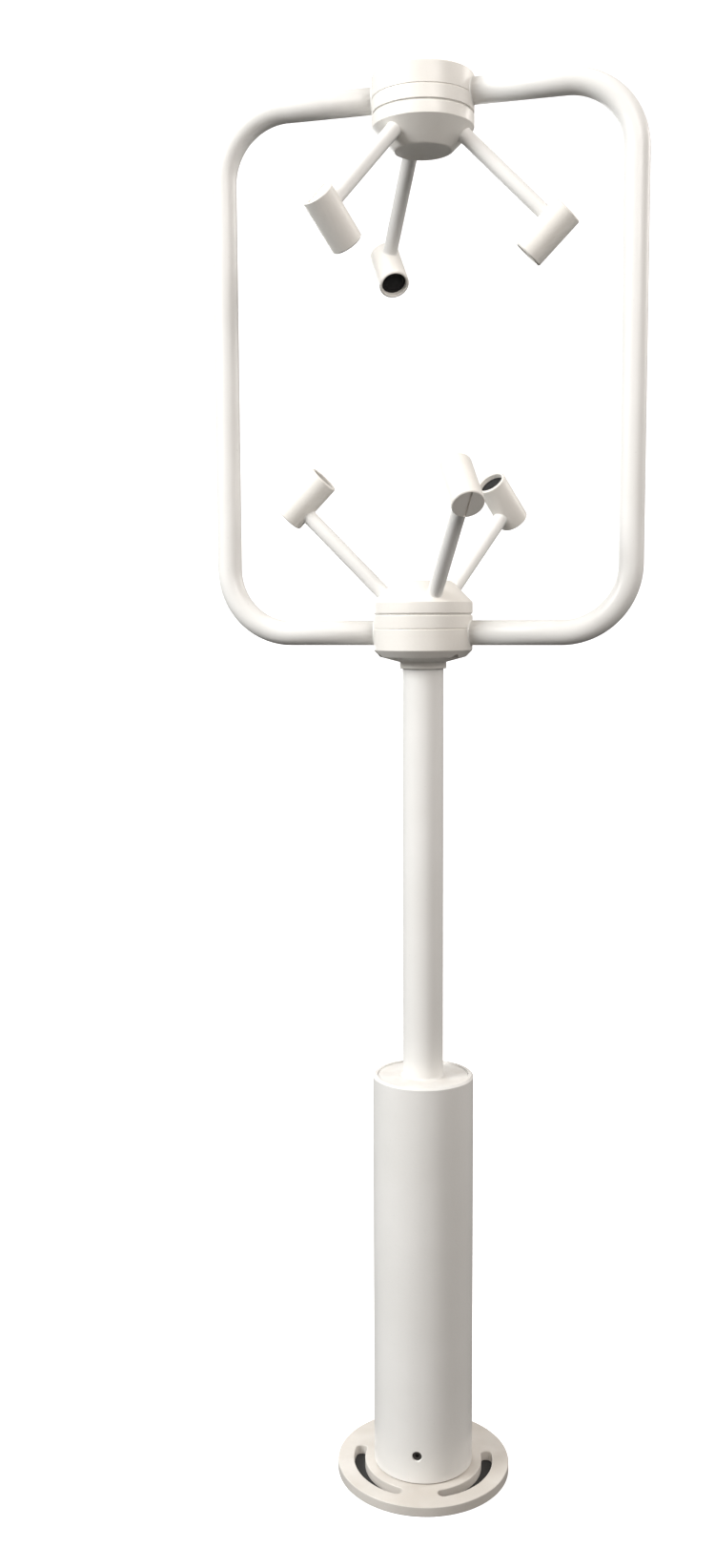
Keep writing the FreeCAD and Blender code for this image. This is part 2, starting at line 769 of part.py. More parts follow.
def upper_hub_body():
    """Hub that closes the frame loop at the top, with a recess for its lid."""
    body = revolved("upper_hub", [
        ("lid_radius + hub_screw_room", "0"),
        ("hub_radius - hub_edge", "0"),
        ("hub_radius", "hub_edge"),
        *wall_corners(),
        ("hub_cavity", "lid_depth"),
        ("lid_radius + hub_screw_room", "lid_depth"),
    ])
    tools = socket_tools("upper") + screw_tools("upper")
    for turn in LID_TURNS:
        start = polar(value("lid_screw_circle"), turn, value("lid_depth") - value("tool_run"))
        tools.append(cylinder("lid_thread", "lid_screw_radius", "lid_screw_length", at(start)))
    hub = cut("upper_hub_cut", body, tools)
    keep(hub, "upper_hub_body", upper_hub_frame())


def arm_line(turn):
    """Hub-frame point on an arm's axis at the head, and the direction from there into the hub."""
    angle = math.radians(value("path_angle"))
    station = value("station")
    start = polar(station * math.cos(angle), turn, value("hub_reach") - station * math.sin(angle))
    inward = polar(-math.sin(angle), turn, -math.cos(angle))
    return start, inward


def hub_dome(node, frame):
    """Cone-shaped arm carrier with a register that centres it in the hub's cavity."""
    body = revolved(node + "_turned", [
        ("dome_cavity", "dome_base - register_depth"),
        ("hub_cavity - fit_gap", "dome_base - register_depth"),
        ("hub_cavity - fit_gap", "dome_base"),
        ("hub_radius - flange_edge", "dome_base"),
        ("hub_radius", "dome_base + flange_edge"),
        ("hub_radius", "hub_height"),
        ("cone_top_radius + cone_edge", "cone_top - cone_edge"),
        ("cone_top_radius - cone_edge", "cone_top"),
        ("0", "cone_top"),
        ("0", "cone_top - dome_roof"),
        ("dome_cavity", "cone_top - dome_roof"),
    ])
    tools = []
    for turn in ARM_TURNS:
        start, inward = arm_line(turn)
        root = start + inward * value("arm_length")
        tools.append(cylinder(node + "_arm_bore", "arm_radius + fit_gap", "arm_length", at(root, -inward)))
        wires = root + inward * value("wire_hole_length")
        tools.append(cylinder(node + "_wire_hole", "wire_hole", "wire_hole_length + tool_run",
                              at(wires, -inward)))
    for turn in SCREW_TURNS:
        low = polar(value("hub_screw_circle"), turn, value("hub_part"))
        tools.append(cylinder(node + "_thread", "hub_screw_radius",
                              "hub_screw_seat + hub_screw_length - hub_part + 2 * tool_run", at(low)))
    keep(cut(node + "_cut", body, tools), node, frame)


def hub_gasket(node, frame):
    """Thin ring between a hub's cup and its cone."""
    body = revolved(node + "_ring", [
        ("hub_cavity + hub_screw_room", "hub_part"),
        ("hub_radius - gasket_inset", "hub_part"),
        ("hub_radius - gasket_inset", "dome_base"),
        ("hub_cavity + hub_screw_room", "dome_base"),
    ])
    holes = [cylinder(node + "_hole", "hub_screw_radius + hub_screw_room", "gasket_thick",
                      at(polar(value("hub_screw_circle"), turn, value("hub_part")))) for turn in SCREW_TURNS]
    keep(cut(node + "_cut", body, holes), node, frame)


def cap_screw(name, radius, length, head, height):
    """Hexagon-socket cap screw: z = 0 under the head, shank along +Z."""
    body = revolved(name + "_turned", [
        ("0", "-" + height),
        (head, "-" + height),
        (head, "0"),
        (radius, "0"),
        (radius, length),
        ("0", length),
    ])
    low = at(VECTOR(0, 0, -value(height)))
    return cut(name, body, [hexagon(name + "_socket", head + " / 2", height + " / 2", low)])


def hub_screws(node, frame):
    """Three long screws that draw a hub's cone down on its cup."""
    pieces = []
    for turn in SCREW_TURNS:
        screw = cap_screw(node + "_piece", "hub_screw_radius - fit_gap", "hub_screw_length",
                          "hub_screw_head", "hub_screw_head_height")
        seat = polar(value("hub_screw_circle"), turn, value("hub_screw_seat"))
        screw.Placement = frame.multiply(at(seat))
        pieces.append(screw)
    keep(group(node + "_group", pieces), node)


def upper_hub_lid():
    """Round lid with countersunk screws, closing the upper hub's wiring space."""
    frame = upper_hub_frame()
    body = revolved("lid", [
        ("0", "-lid_rise"),
        ("lid_radius - lid_edge", "-lid_rise"),
        ("lid_radius", "lid_edge - lid_rise"),
        ("lid_radius", "lid_depth"),
        ("0", "lid_depth"),
    ])
    tools = []
    pieces = []
    for turn in LID_TURNS:
        top = polar(value("lid_screw_circle"), turn, -value("lid_rise"))
        sink = doc.addObject("Part::Cone", "lid_sink")
        sink.setExpression("Radius1", bound("lid_screw_head + fit_gap"))
        sink.setExpression("Radius2", bound("lid_screw_radius + fit_gap"))
        sink.setExpression("Height", bound("lid_screw_head - lid_screw_radius"))
        sink.Placement = at(top)
        tools.append(sink)
        tools.append(cylinder("lid_hole", "lid_screw_radius + fit_gap", "lid_rise + lid_depth", at(top)))
        screw = revolved("lid_screw", [
            ("0", "0"),
            ("lid_screw_head", "0"),
            ("lid_screw_radius - fit_gap", "lid_screw_head - lid_screw_radius"),
            ("lid_screw_radius - fit_gap", "lid_screw_length"),
            ("0", "lid_screw_length"),
        ])
        socket = hexagon("lid_socket", "lid_socket_corner", "lid_socket_depth")
        piece = cut("lid_screw_cut", screw, [socket])
        piece.Placement = frame.multiply(at(top))
        pieces.append(piece)
    keep(cut("lid_cut", body, tools), "upper_hub_lid", frame)
    keep(group("lid_screw_group", pieces), "lid_screws")


# --- frame loop -----------------------------------------------------------------------------------------

def loop_path(end):
    """Sketch maker: a C with two round corners that opens towards the axis, ends at x = end."""
    wide = value("loop_half_width")
    tall = value("loop_half_height")
    bend = value("bend_radius")
    stop = value(end)

    def draw(sketch):
        quarter = math.pi / 2
        sketch.addGeometry(Part.LineSegment(VECTOR(stop, tall, 0), VECTOR(wide - bend, tall, 0)))
        corner = Part.Circle(VECTOR(wide - bend, tall - bend, 0), Z_AXIS, bend)
        sketch.addGeometry(Part.ArcOfCircle(corner, 0, quarter))
        sketch.addGeometry(Part.LineSegment(VECTOR(wide, tall - bend, 0), VECTOR(wide, bend - tall, 0)))
        corner = Part.Circle(VECTOR(wide - bend, bend - tall, 0), Z_AXIS, bend)
        sketch.addGeometry(Part.ArcOfCircle(corner, -quarter, 0))
        sketch.addGeometry(Part.LineSegment(VECTOR(wide - bend, -tall, 0), VECTOR(stop, -tall, 0)))
        for join in ((0, 2, 1, 2), (1, 1, 2, 1), (2, 2, 3, 2), (3, 1, 4, 1)):
            sketch.addConstraint(Sketcher.Constraint("Tangent", *join))
        sketch.addConstraint(Sketcher.Constraint("Horizontal", 0))
        sketch.addConstraint(Sketcher.Constraint("Vertical", 2))
        sketch.addConstraint(Sketcher.Constraint("Horizontal", 4))
        sketch.addConstraint(Sketcher.Constraint("Equal", 1, 3))
        constrain(sketch, "Radius", 1, None, "bend_radius")
        constrain(sketch, "DistanceX", 0, 1, end)
        constrain(sketch, "DistanceY", 0, 1, "loop_half_height")
        constrain(sketch, "DistanceX", 2, 1, "loop_half_width")
        constrain(sketch, "DistanceX", 4, 2, end)
        constrain(sketch, "DistanceY", 4, 2, "-loop_half_height")
    return draw


def loop_frame(side):
    """The loop's centre, turned half round for the left tube."""
    turn = 0 if side > 0 else 180
    return FreeCAD.Placement(VECTOR(0, 0, value("path_centre")), FreeCAD.Rotation(Z_AXIS, turn))


def frame_tubes():
    """The loop's two tubes, with a sealing ring and a set screw at each end."""
    for node, side in (("frame_tube_right", 1), ("frame_tube_left", -1)):
        body = pipe(node + "_body", ("tube_radius", "tube_radius - tube_wall"),
                    ("tube_end", "loop_half_height"), loop_path("tube_end"))
        keep(body, node, loop_frame(side))

    rings = []
    screws = []
    for frame in (lower_hub_frame(), upper_hub_frame()):
        for side in (-1, 1):
            ring = VECTOR(side * value("tube_ring_place"), 0, value("tube_level"))
            rings.append(torus("tube_ring", "tube_radius + tube_ring_section", "tube_ring_section",
                               frame.multiply(at(ring, X_AXIS))))
            top = value("tube_level") - value("tube_radius")
            low = VECTOR(side * value("set_screw_place"), 0, top - value("set_screw_length"))
            blank = cylinder("set_blank", "set_screw_radius", "set_screw_length")
            socket = hexagon("set_socket", "set_screw_radius / 2", "set_screw_length / 2")
            screw = cut("set_screw", blank, [socket])
            screw.Placement = frame.multiply(at(low))
            screws.append(screw)
    keep(group("tube_rings", rings), "frame_orings")
    keep(group("set_screws", screws), "frame_set_screws")


# --- heads and arms -------------------------------------------------------------------------------------
# Head frame: z = 0 at the front face, +z away from the path centre, +x along the arm towards the hub.

def head_axes(turn, up):
    """Directions of a head's back and of its arm; up is 1 for an upper head and -1 for the opposite one."""
    angle = math.radians(value("path_angle"))
    back = polar(math.cos(angle), turn, math.sin(angle)) * up
    arm = polar(-math.sin(angle), turn, math.cos(angle)) * up
    return back, arm


def head_frame(turn, up):
    back, arm = head_axes(turn, up)
    face = VECTOR(0, 0, value("path_centre")) + back * (value("path_length") / 2)
    return FreeCAD.Placement(face, FreeCAD.Rotation(arm, back.cross(arm), back, "ZXY"))


def heads():
    """The six heads as (name, frame): head 1 of each row lies in the loop's plane."""
    return [(f"{row}_{{}}_{k + 1}", head_frame(turn, up))
            for row, up in (("upper", 1), ("lower", -1)) for k, turn in enumerate(THIRDS)]


def head_shell(node, frame):
    """Short tube with a rounded lip, a stepped back and a side hole for the arm."""
    body = revolved(node + "_turned", [
        ("head_bore + lip_edge", "0"),
        ("head_radius - head_edge", "0"),
        ("head_radius", "head_edge"),
        ("head_radius", "head_length - flange_edge"),
        ("head_radius - flange_edge", "head_length"),
        ("plug_lip + fit_gap", "head_length"),
        ("plug_lip + fit_gap", "head_length - plug_lip_thick"),
        ("head_bore", "head_length - plug_lip_thick"),
        ("head_bore", "lip_edge"),
    ])
    start = VECTOR(0, 0, value("arm_setback"))
    hole = cylinder(node + "_hole", "arm_radius + fit_gap", "head_radius + 2 * tool_run",
                    at(start, X_AXIS))
    keep(cut(node + "_cut", body, [hole]), node, frame)


def transducer(node, frame):
    """Round sounding face on a slimmer core, with a terminal boss behind."""
    body = revolved(node + "_turned", [
        ("0", "face_recess"),
        ("head_bore - fit_gap", "face_recess"),
        ("head_bore - fit_gap", "face_recess + face_thick"),
        ("core_radius", "face_recess + face_thick"),
        ("core_radius", "face_recess + core_length"),
        ("boss_radius", "face_recess + core_length"),
        ("boss_radius", "face_recess + core_length + boss_length"),
        ("0", "face_recess + core_length + boss_length"),
    ])
    keep(body, node, frame)


def arm(node, frame):
    """Straight tube, square to the head, from the head's wall into the hub's cone."""
    body = revolved(node + "_turned", [
        ("arm_radius - arm_wall", "arm_start"),
        ("arm_radius", "arm_start"),
        ("arm_radius", "arm_length"),
        ("arm_radius - arm_wall", "arm_length"),
    ])
    start = VECTOR(0, 0, value("arm_setback"))
    keep(body, node, frame.multiply(at(start, X_AXIS)))


def back_plug(frame):
    """Slotted plug that closes a head's back."""
    body = revolved("plug", [
        ("0", "head_length - plug_lip_thick - plug_body_thick"),
        ("head_bore - fit_gap", "head_length - plug_lip_thick - plug_body_thick"),
        ("head_bore - fit_gap", "head_length - plug_lip_thick"),
        ("plug_lip", "head_length - plug_lip_thick"),
        ("plug_lip", "head_length"),
        ("0", "head_length"),
    ])
    wide = value("plug_lip")
    start = VECTOR(-wide, -value("plug_slot") / 2, value("head_length") - value("plug_slot"))
    slot = block("plug_slot_cut", "2 * plug_lip", "plug_slot", "plug_slot", at(start))
    piece = cut("plug_cut", body, [slot])
    piece.Placement = frame
    return piece


def head_lead(frame):
    """Lead from the transducer's boss, round one bend and down the arm into the hub."""
    start = value("face_recess") + value("core_length") + value("boss_length")
    bend = value("arm_setback") - start
    angle = math.radians(value("path_angle"))
    reach = (value("station") * math.cos(angle) - value("head_lead_end")) / math.sin(angle)
    corner = VECTOR(bend * (1 - math.cos(math.pi / 4)), 0, start + bend * math.sin(math.pi / 4))
    turn = Part.Arc(VECTOR(0, 0, start), corner, VECTOR(bend, 0, start + bend))
    run = Part.LineSegment(VECTOR(bend, 0, start + bend), VECTOR(reach, 0, start + bend))
    path = Part.Wire([turn.toShape(), run.toShape()])
    section = Part.Wire([Part.makeCircle(value("head_lead_radius"), VECTOR(0, 0, start), Z_AXIS)])
    lead = doc.addObject("Part::Feature", "head_lead")
    lead.Shape = path.makePipeShell([section], True, False)
    lead.Placement = frame
    return lead


def heads_and_arms():
    """Six heads with their transducers, arms, back plugs and leads."""
    plugs = {"upper": [], "lower": []}
    leads = {"upper": [], "lower": []}
    for pattern, frame in heads():
        row = pattern.split("_")[0]
        head_shell(pattern.format("head"), frame)
        transducer(pattern.format("transducer"), frame)
        arm(pattern.format("arm"), frame)
        plugs[row].append(back_plug(frame))
        leads[row].append(head_lead(frame))
    for row in ("upper", "lower"):
        keep(group(row + "_plugs", plugs[row]), row + "_back_plugs")
        keep(group(row + "_lead_group", leads[row]), row + "_leads")


# --- wiring in the mast and the frame -------------------------------------------------------------------

def looms():
    """The bundle up the mast, and the one round the left frame tube to the upper hub."""
    start = value("upper_board_level") + value("board_thick") + value("socket_height")
    length = "hub_level + mast_loom_end - upper_board_level - board_thick - socket_height"
    keep(cylinder("loom_up", "mast_loom_radius", length), "mast_loom", at(VECTOR(0, 0, start)))
    body = pipe("loom_round", ("loop_loom_radius",), ("loop_loom_end", "loop_half_height"),
                loop_path("loop_loom_end"))
    keep(body, "loop_loom", loop_frame(-1))


def check_and_write():
    """Stop on a failed feature, then write each node's STEP file."""
    doc.recompute()
    faults = [item.Label for item in doc.Objects if "Invalid" in item.State or "Error" in item.State]
    for node, feature in nodes.items():
        shape = feature.Shape
        if shape.isNull() or not shape.isValid() or not shape.Solids:
            faults.append(node)
    if faults:
        raise RuntimeError("failed objects: " + ", ".join(sorted(set(faults))))
    os.makedirs("parts", exist_ok=True)
    for node, feature in nodes.items():
        feature.Shape.exportStep(f"parts/{node}.step")
    print(len(nodes), "nodes written")


fill_sheet()
base_flange()
base_ring()
connector()
base_lead()
housing_tube()
grub_screws()
housing_cap()
mast()
chassis()
boards()
lower_hub_body()
upper_hub_body()
hub_dome("lower_hub_dome", lower_hub_frame())
hub_dome("upper_hub_dome", upper_hub_frame())
hub_gasket("lower_hub_gasket", lower_hub_frame())
hub_gasket("upper_hub_gasket", upper_hub_frame())
hub_screws("lower_hub_screws", lower_hub_frame())
hub_screws("upper_hub_screws", upper_hub_frame())
upper_hub_lid()
frame_tubes()
heads_and_arms()
looms()
check_and_write()
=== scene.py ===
import math

import bmesh
import bpy
from mathutils import Matrix, Vector


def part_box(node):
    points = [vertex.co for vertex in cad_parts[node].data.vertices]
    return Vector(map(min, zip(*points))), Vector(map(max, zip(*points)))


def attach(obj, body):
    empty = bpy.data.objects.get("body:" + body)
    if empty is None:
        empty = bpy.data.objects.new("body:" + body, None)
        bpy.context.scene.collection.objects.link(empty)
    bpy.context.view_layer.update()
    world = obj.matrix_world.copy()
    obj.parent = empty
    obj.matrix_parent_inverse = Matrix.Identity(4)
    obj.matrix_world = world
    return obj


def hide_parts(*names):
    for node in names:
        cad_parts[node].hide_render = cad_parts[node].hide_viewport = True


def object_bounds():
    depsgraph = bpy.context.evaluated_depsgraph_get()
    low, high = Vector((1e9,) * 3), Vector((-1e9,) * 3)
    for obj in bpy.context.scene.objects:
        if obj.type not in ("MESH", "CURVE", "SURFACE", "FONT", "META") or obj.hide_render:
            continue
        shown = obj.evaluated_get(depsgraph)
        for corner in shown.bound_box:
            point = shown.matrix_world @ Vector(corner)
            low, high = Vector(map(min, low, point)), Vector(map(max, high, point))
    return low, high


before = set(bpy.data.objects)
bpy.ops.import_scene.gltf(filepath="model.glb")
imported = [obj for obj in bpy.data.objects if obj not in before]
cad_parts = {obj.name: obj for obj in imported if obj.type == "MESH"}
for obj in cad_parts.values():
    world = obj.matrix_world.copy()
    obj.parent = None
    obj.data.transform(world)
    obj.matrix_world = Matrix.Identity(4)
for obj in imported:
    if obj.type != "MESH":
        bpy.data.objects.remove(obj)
cad_low, cad_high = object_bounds()


# ---------------------------------------------------------------- studio
# A round cove of pale paper with a flat floor, one large soft box high on the left of the camera, weak
# ones above, behind and low on the right, a small one aimed at the frame, and an even room light.

EYE = Vector((0.2043, -0.8739, 0.5472))
EYE_TURN = math.radians(13.16 + 2.568)
EYE_DIP = math.radians(6.508)
EYE_ROLL = math.radians(-0.304)
EYE_LENS = 33.76
SENSOR_WIDTH = 36
ROOM_RADIUS = 3.6
ROOM_CORNER = 1.0
ROOM_HEIGHT = 4.2
# Radii in metres of the painted shadow under the flange: dark paper inside the first, open paper from the
# second.
PAINTED_SHADOW_RADIUS = 0.050
PAINTED_SHADOW_FADE_END = 0.056


def cove(radius, corner, height):
    """A round room: flat floor, swept corner, upright wall and flat ceiling."""
    room = bmesh.new()
    centre = room.verts.new((0, 0, 0))
    edge = bmesh.ops.extrude_vert_indiv(room, verts=[centre])["verts"][0]
    edge.co.x = radius - corner
    bmesh.ops.spin(room, geom=[edge], cent=(radius - corner, 0, corner), axis=(0, -1, 0),
                   angle=math.pi / 2, steps=12)
    top = max(room.verts, key=lambda vert: vert.co.z)
    rise = bmesh.ops.extrude_vert_indiv(room, verts=[top])["verts"][0]
    rise.co.z = height
    roof = bmesh.ops.extrude_vert_indiv(room, verts=[rise])["verts"][0]
    roof.co.x = 0
    bmesh.ops.spin(room, geom=room.verts[:] + room.edges[:], cent=(0, 0, 0), axis=(0, 0, 1),
                   angle=math.tau, steps=96, use_merge=True)
    bmesh.ops.remove_doubles(room, verts=room.verts[:], dist=1e-5)
    return room


def studio_paper():
    """Matt pale paper, bright in itself, with a painted shadow: dark and unlit where the flange stands on
    it.
    """
    paper = bpy.data.materials.new("studio_paper")
    paper.use_nodes = True
    tree = paper.node_tree
    shader = tree.nodes["Principled BSDF"]
    shader.inputs["Roughness"].default_value = 0.9
    shader.inputs["Specular IOR Level"].default_value = 0.1
    shader.inputs["Emission Color"].default_value = (1, 1, 1, 1)
    place = tree.nodes.new("ShaderNodeTexCoord")
    away = tree.nodes.new("ShaderNodeVectorMath")
    away.operation = "LENGTH"
    tree.links.new(place.outputs["Object"], away.inputs[0])
    # Painted shadow: inside the flange's footprint the paper is dark and gives no light, so the slots show
    # shade.
    for socket, dark, bright in (("Emission Strength", 0.0, 1.0), ("Base Color", 0.07, 0.84)):
        shadow_fade = tree.nodes.new("ShaderNodeMapRange")
        shadow_fade.inputs["From Min"].default_value = PAINTED_SHADOW_RADIUS
        shadow_fade.inputs["From Max"].default_value = PAINTED_SHADOW_FADE_END
        shadow_fade.inputs["To Min"].default_value = dark
        shadow_fade.inputs["To Max"].default_value = bright
        tree.links.new(away.outputs["Value"], shadow_fade.inputs["Value"])
        tree.links.new(shadow_fade.outputs["Result"], shader.inputs[socket])
    return paper


def soft_box(name, place, target, size, power, colour):
    """A round soft light, size metres across, that faces its target."""
    light = bpy.data.lights.new(name, "AREA")
    light.shape = "DISK"
    light.size = size
    light.energy = power
    light.color = colour
    lamp = bpy.data.objects.new(name, light)
    bpy.context.scene.collection.objects.link(lamp)
    lamp.location = place
    lamp.rotation_euler = (Vector(target) - Vector(place)).to_track_quat("-Z", "Y").to_euler()
    lamp.visible_camera = False
    return lamp


room = cove(ROOM_RADIUS, ROOM_CORNER, ROOM_HEIGHT)
room_mesh = bpy.data.meshes.new("studio_cove")
room.to_mesh(room_mesh)
room.free()
room_mesh.shade_smooth()
room_mesh.materials.append(studio_paper())
studio_cove = bpy.data.objects.new("studio_cove", room_mesh)
bpy.context.scene.collection.objects.link(studio_cove)
studio_cove.visible_diffuse = False
studio_cove.visible_glossy = False
studio_cove.visible_shadow = False

middle = Vector((0, 0, (cad_low.z + cad_high.z) / 2))
soft_box("key_box", (-1.40, -1.20, 1.60), middle, 1.1, 45, (0.985, 1.0, 1.0))
soft_box("top_box", (-0.4, 0.3, 2.4), middle, 1.2, 3, (1.0, 0.99, 0.97))
soft_box("warm_box", (1.1, -1.6, 1.6), middle, 1.2, 9, (1.0, 0.90, 0.82))
soft_box("rim_box", (1.7, 1.3, 1.4), middle, 0.9, 12, (1.0, 0.96, 0.92))
soft_box("back_box", (-1.1, 1.7, 0.8), middle, 1.0, 10, (0.99, 1.0, 1.0))
frame_box = soft_box("frame_box", (0.75, -0.85, 1.20), (0, 0, 0.74), 0.5, 0.36, (1.0, 0.98, 0.965))
frame_box.data.spread = math.radians(50)

room_light = bpy.data.worlds.new("room_light")
room_light.use_nodes = True
sky = room_light.node_tree
facing = sky.nodes.new("ShaderNodeTexCoord")
upward = sky.nodes.new("ShaderNodeSeparateXYZ")
sky.links.new(facing.outputs["Generated"], upward.inputs[0])
fade = sky.nodes.new("ShaderNodeMapRange")
fade.inputs["From Min"].default_value = -0.45
fade.inputs["From Max"].default_value = 0.5
fade.inputs["To Min"].default_value = 0.10
fade.inputs["To Max"].default_value = 0.56
sky.links.new(upward.outputs["Z"], fade.inputs["Value"])
sky.nodes["Background"].inputs["Color"].default_value = (1.0, 0.965, 0.925, 1)
sky.links.new(fade.outputs["Result"], sky.nodes["Background"].inputs["Strength"])
bpy.context.scene.world = room_light

forward = Vector((-math.sin(EYE_TURN) * math.cos(EYE_DIP),
                  math.cos(EYE_TURN) * math.cos(EYE_DIP), -math.sin(EYE_DIP)))
side = forward.cross(Vector((0, 0, 1))).normalized()
above = side.cross(forward)
right = side * math.cos(EYE_ROLL) + above * math.sin(EYE_ROLL)
above = above * math.cos(EYE_ROLL) - side * math.sin(EYE_ROLL)
lens = bpy.data.cameras.new("studio_camera")
lens.lens = EYE_LENS
lens.sensor_width = SENSOR_WIDTH
lens.clip_start = 0.01
camera = bpy.data.objects.new("studio_camera", lens)
bpy.context.scene.collection.objects.link(camera)
camera.matrix_world = Matrix.Translation(EYE) @ Matrix((right, above, -forward)).transposed().to_4x4()
bpy.context.scene.camera = camera
bpy.context.scene.view_settings.view_transform = "Standard"


# ---------------------------------------------------------------- flange casting
# Round aluminium casting: a plate with three curved bolt slots, and a spigot that the housing turns on.
# Its underside is bored out for the connector. Turned, slotted, then powder coated white, in a warmer tone
# than the housing and darker as painted shade, so that its level top doesn't shine too bright.

MM = 0.001
TURN_STEPS = 180
WELD = 1e-6
SHARP_EDGE = math.radians(25)
SMOOTH_UNDER = math.radians(35)


def noise(tree, scale, detail=2.0, stretch=(1, 1, 1)):
    """A noise that stays with the piece, from 0 to 1."""
    place = tree.nodes.new("ShaderNodeTexCoord")
    mapping = tree.nodes.new("ShaderNodeMapping")
    mapping.inputs["Scale"].default_value = stretch
    texture = tree.nodes.new("ShaderNodeTexNoise")
    texture.inputs["Scale"].default_value = scale
    texture.inputs["Detail"].default_value = detail
    tree.links.new(place.outputs["Object"], mapping.inputs["Vector"])
    tree.links.new(mapping.outputs["Vector"], texture.inputs["Vector"])
    return texture.outputs["Fac"]


def ranged(tree, value, low, high, start=0.3, end=0.7):
    """A value stretched from start..end to low..high and held there."""
    node = tree.nodes.new("ShaderNodeMapRange")
    node.inputs["From Min"].default_value = start
    node.inputs["From Max"].default_value = end
    node.inputs["To Min"].default_value = low
    node.inputs["To Max"].default_value = high
    tree.links.new(value, node.inputs["Value"])
    return node.outputs["Result"]


def toned(tree, amount, first, second):
    """A colour that goes from first to second; either may be a colour or another node's output."""
    node = tree.nodes.new("ShaderNodeMix")
    node.data_type = "RGBA"
    tree.links.new(amount, node.inputs[0])
    for socket, colour in ((node.inputs[6], first), (node.inputs[7], second)):
        if isinstance(colour, tuple):
            socket.default_value = (*colour, 1)
        else:
            tree.links.new(colour, socket)
    return node.outputs[2]


def product(tree, first, second):
    """Two nodes' outputs multiplied."""
    node = tree.nodes.new("ShaderNodeMath")
    node.operation = "MULTIPLY"
    tree.links.new(first, node.inputs[0])
    tree.links.new(second, node.inputs[1])
    return node.outputs[0]


def relief(tree, height, depth, under=None):
    """A bump that is depth millimetres high, on top of another bump."""
    node = tree.nodes.new("ShaderNodeBump")
    node.inputs["Strength"].default_value = 1.0
    node.inputs["Distance"].default_value = depth * MM
    tree.links.new(height, node.inputs["Height"])
    if under is not None:
        tree.links.new(under, node.inputs["Normal"])
    return node.outputs["Normal"]


def finish_of(name, colour, roughness, normal=None, metallic=0.0):
    """Starts a material; colour, roughness and normal are functions that are given its node tree."""
    made = bpy.data.materials.new(name)
    made.use_nodes = True
    tree = made.node_tree
    shader = tree.nodes["Principled BSDF"]
    shader.inputs["Metallic"].default_value = metallic
    tree.links.new(colour(tree), shader.inputs["Base Color"])
    tree.links.new(roughness(tree), shader.inputs["Roughness"])
    if normal is not None:
        tree.links.new(normal(tree), shader.inputs["Normal"])
    return made


DUST = (0.56, 0.50, 0.43)
SPECK = (0.35, 0.32, 0.28)


def powder_coat(name, light, shade):
    """Satin powder coat: broad clouds of tone, faint rain streaks, dust on level faces, rare specks."""
    def colour(tree):
        clouds = ranged(tree, noise(tree, 16, 3), 0.0, 1.0)
        streaks = ranged(tree, noise(tree, 55, 4, (1, 1, 0.05)), 0.0, 0.35, 0.5, 0.8)
        coat = toned(tree, clouds, light, shade)
        coat = toned(tree, streaks, coat, tuple(part * 0.9 for part in shade))
        surface = tree.nodes.new("ShaderNodeNewGeometry")
        level = tree.nodes.new("ShaderNodeSeparateXYZ")
        tree.links.new(surface.outputs["Normal"], level.inputs[0])
        lying = ranged(tree, level.outputs["Z"], 0.0, 0.35, 0.6, 1.0)
        patchy = ranged(tree, noise(tree, 70, 5), 0.15, 1.0, 0.35, 0.65)
        coat = toned(tree, product(tree, lying, patchy), coat, DUST)
        specks = ranged(tree, noise(tree, 900, 1), 0.0, 0.22, 0.77, 0.80)
        return toned(tree, specks, coat, SPECK)

    def normal(tree):
        peel = relief(tree, noise(tree, 480, 1), 0.06)
        return relief(tree, noise(tree, 2600, 2), 0.01, peel)

    coat = finish_of(name, colour, lambda tree: ranged(tree, noise(tree, 90, 3), 0.33, 0.47), normal)
    shader = coat.node_tree.nodes["Principled BSDF"]
    shader.inputs["Specular IOR Level"].default_value = 0.42
    shader.inputs["Coat Weight"].default_value = 0.12
    shader.inputs["Coat Roughness"].default_value = 0.22
    return coat


def turned(profile, steps=TURN_STEPS):
    """A shell turned about Z from (radius, height) corners in mm, closed on itself or on the axis."""
    shell = bmesh.new()
    rim = [shell.verts.new((radius * MM, 0, height * MM)) for radius, height in profile]
    wires = [shell.edges.new(pair) for pair in zip(rim, rim[1:])]
    if profile[0][0] > 0:
        wires.append(shell.edges.new((rim[-1], rim[0])))
    bmesh.ops.spin(shell, geom=rim + wires, cent=(0, 0, 0), axis=(0, 0, 1), angle=math.tau,
                   steps=steps, use_merge=True)
    bmesh.ops.remove_doubles(shell, verts=shell.verts[:], dist=WELD)
    bmesh.ops.recalc_face_normals(shell, faces=shell.faces[:])
    return shell


def softened(shell, width, segments=2):
    """Breaks the sharp edges with a small round, as the coat leaves them."""
    sharp = [edge for edge in shell.edges
             if edge.is_manifold and edge.calc_face_angle() > SHARP_EDGE]
    bmesh.ops.bevel(shell, geom=sharp, offset=width * MM, offset_type="OFFSET", affect="EDGES",
                    segments=segments, profile=0.5, material=-1, clamp_overlap=True)
    return shell


def placed(shell, *moves):
    """The shell moved by each matrix in turn."""
    for move in moves:
        bmesh.ops.transform(shell, matrix=move, verts=shell.verts[:])
    return shell


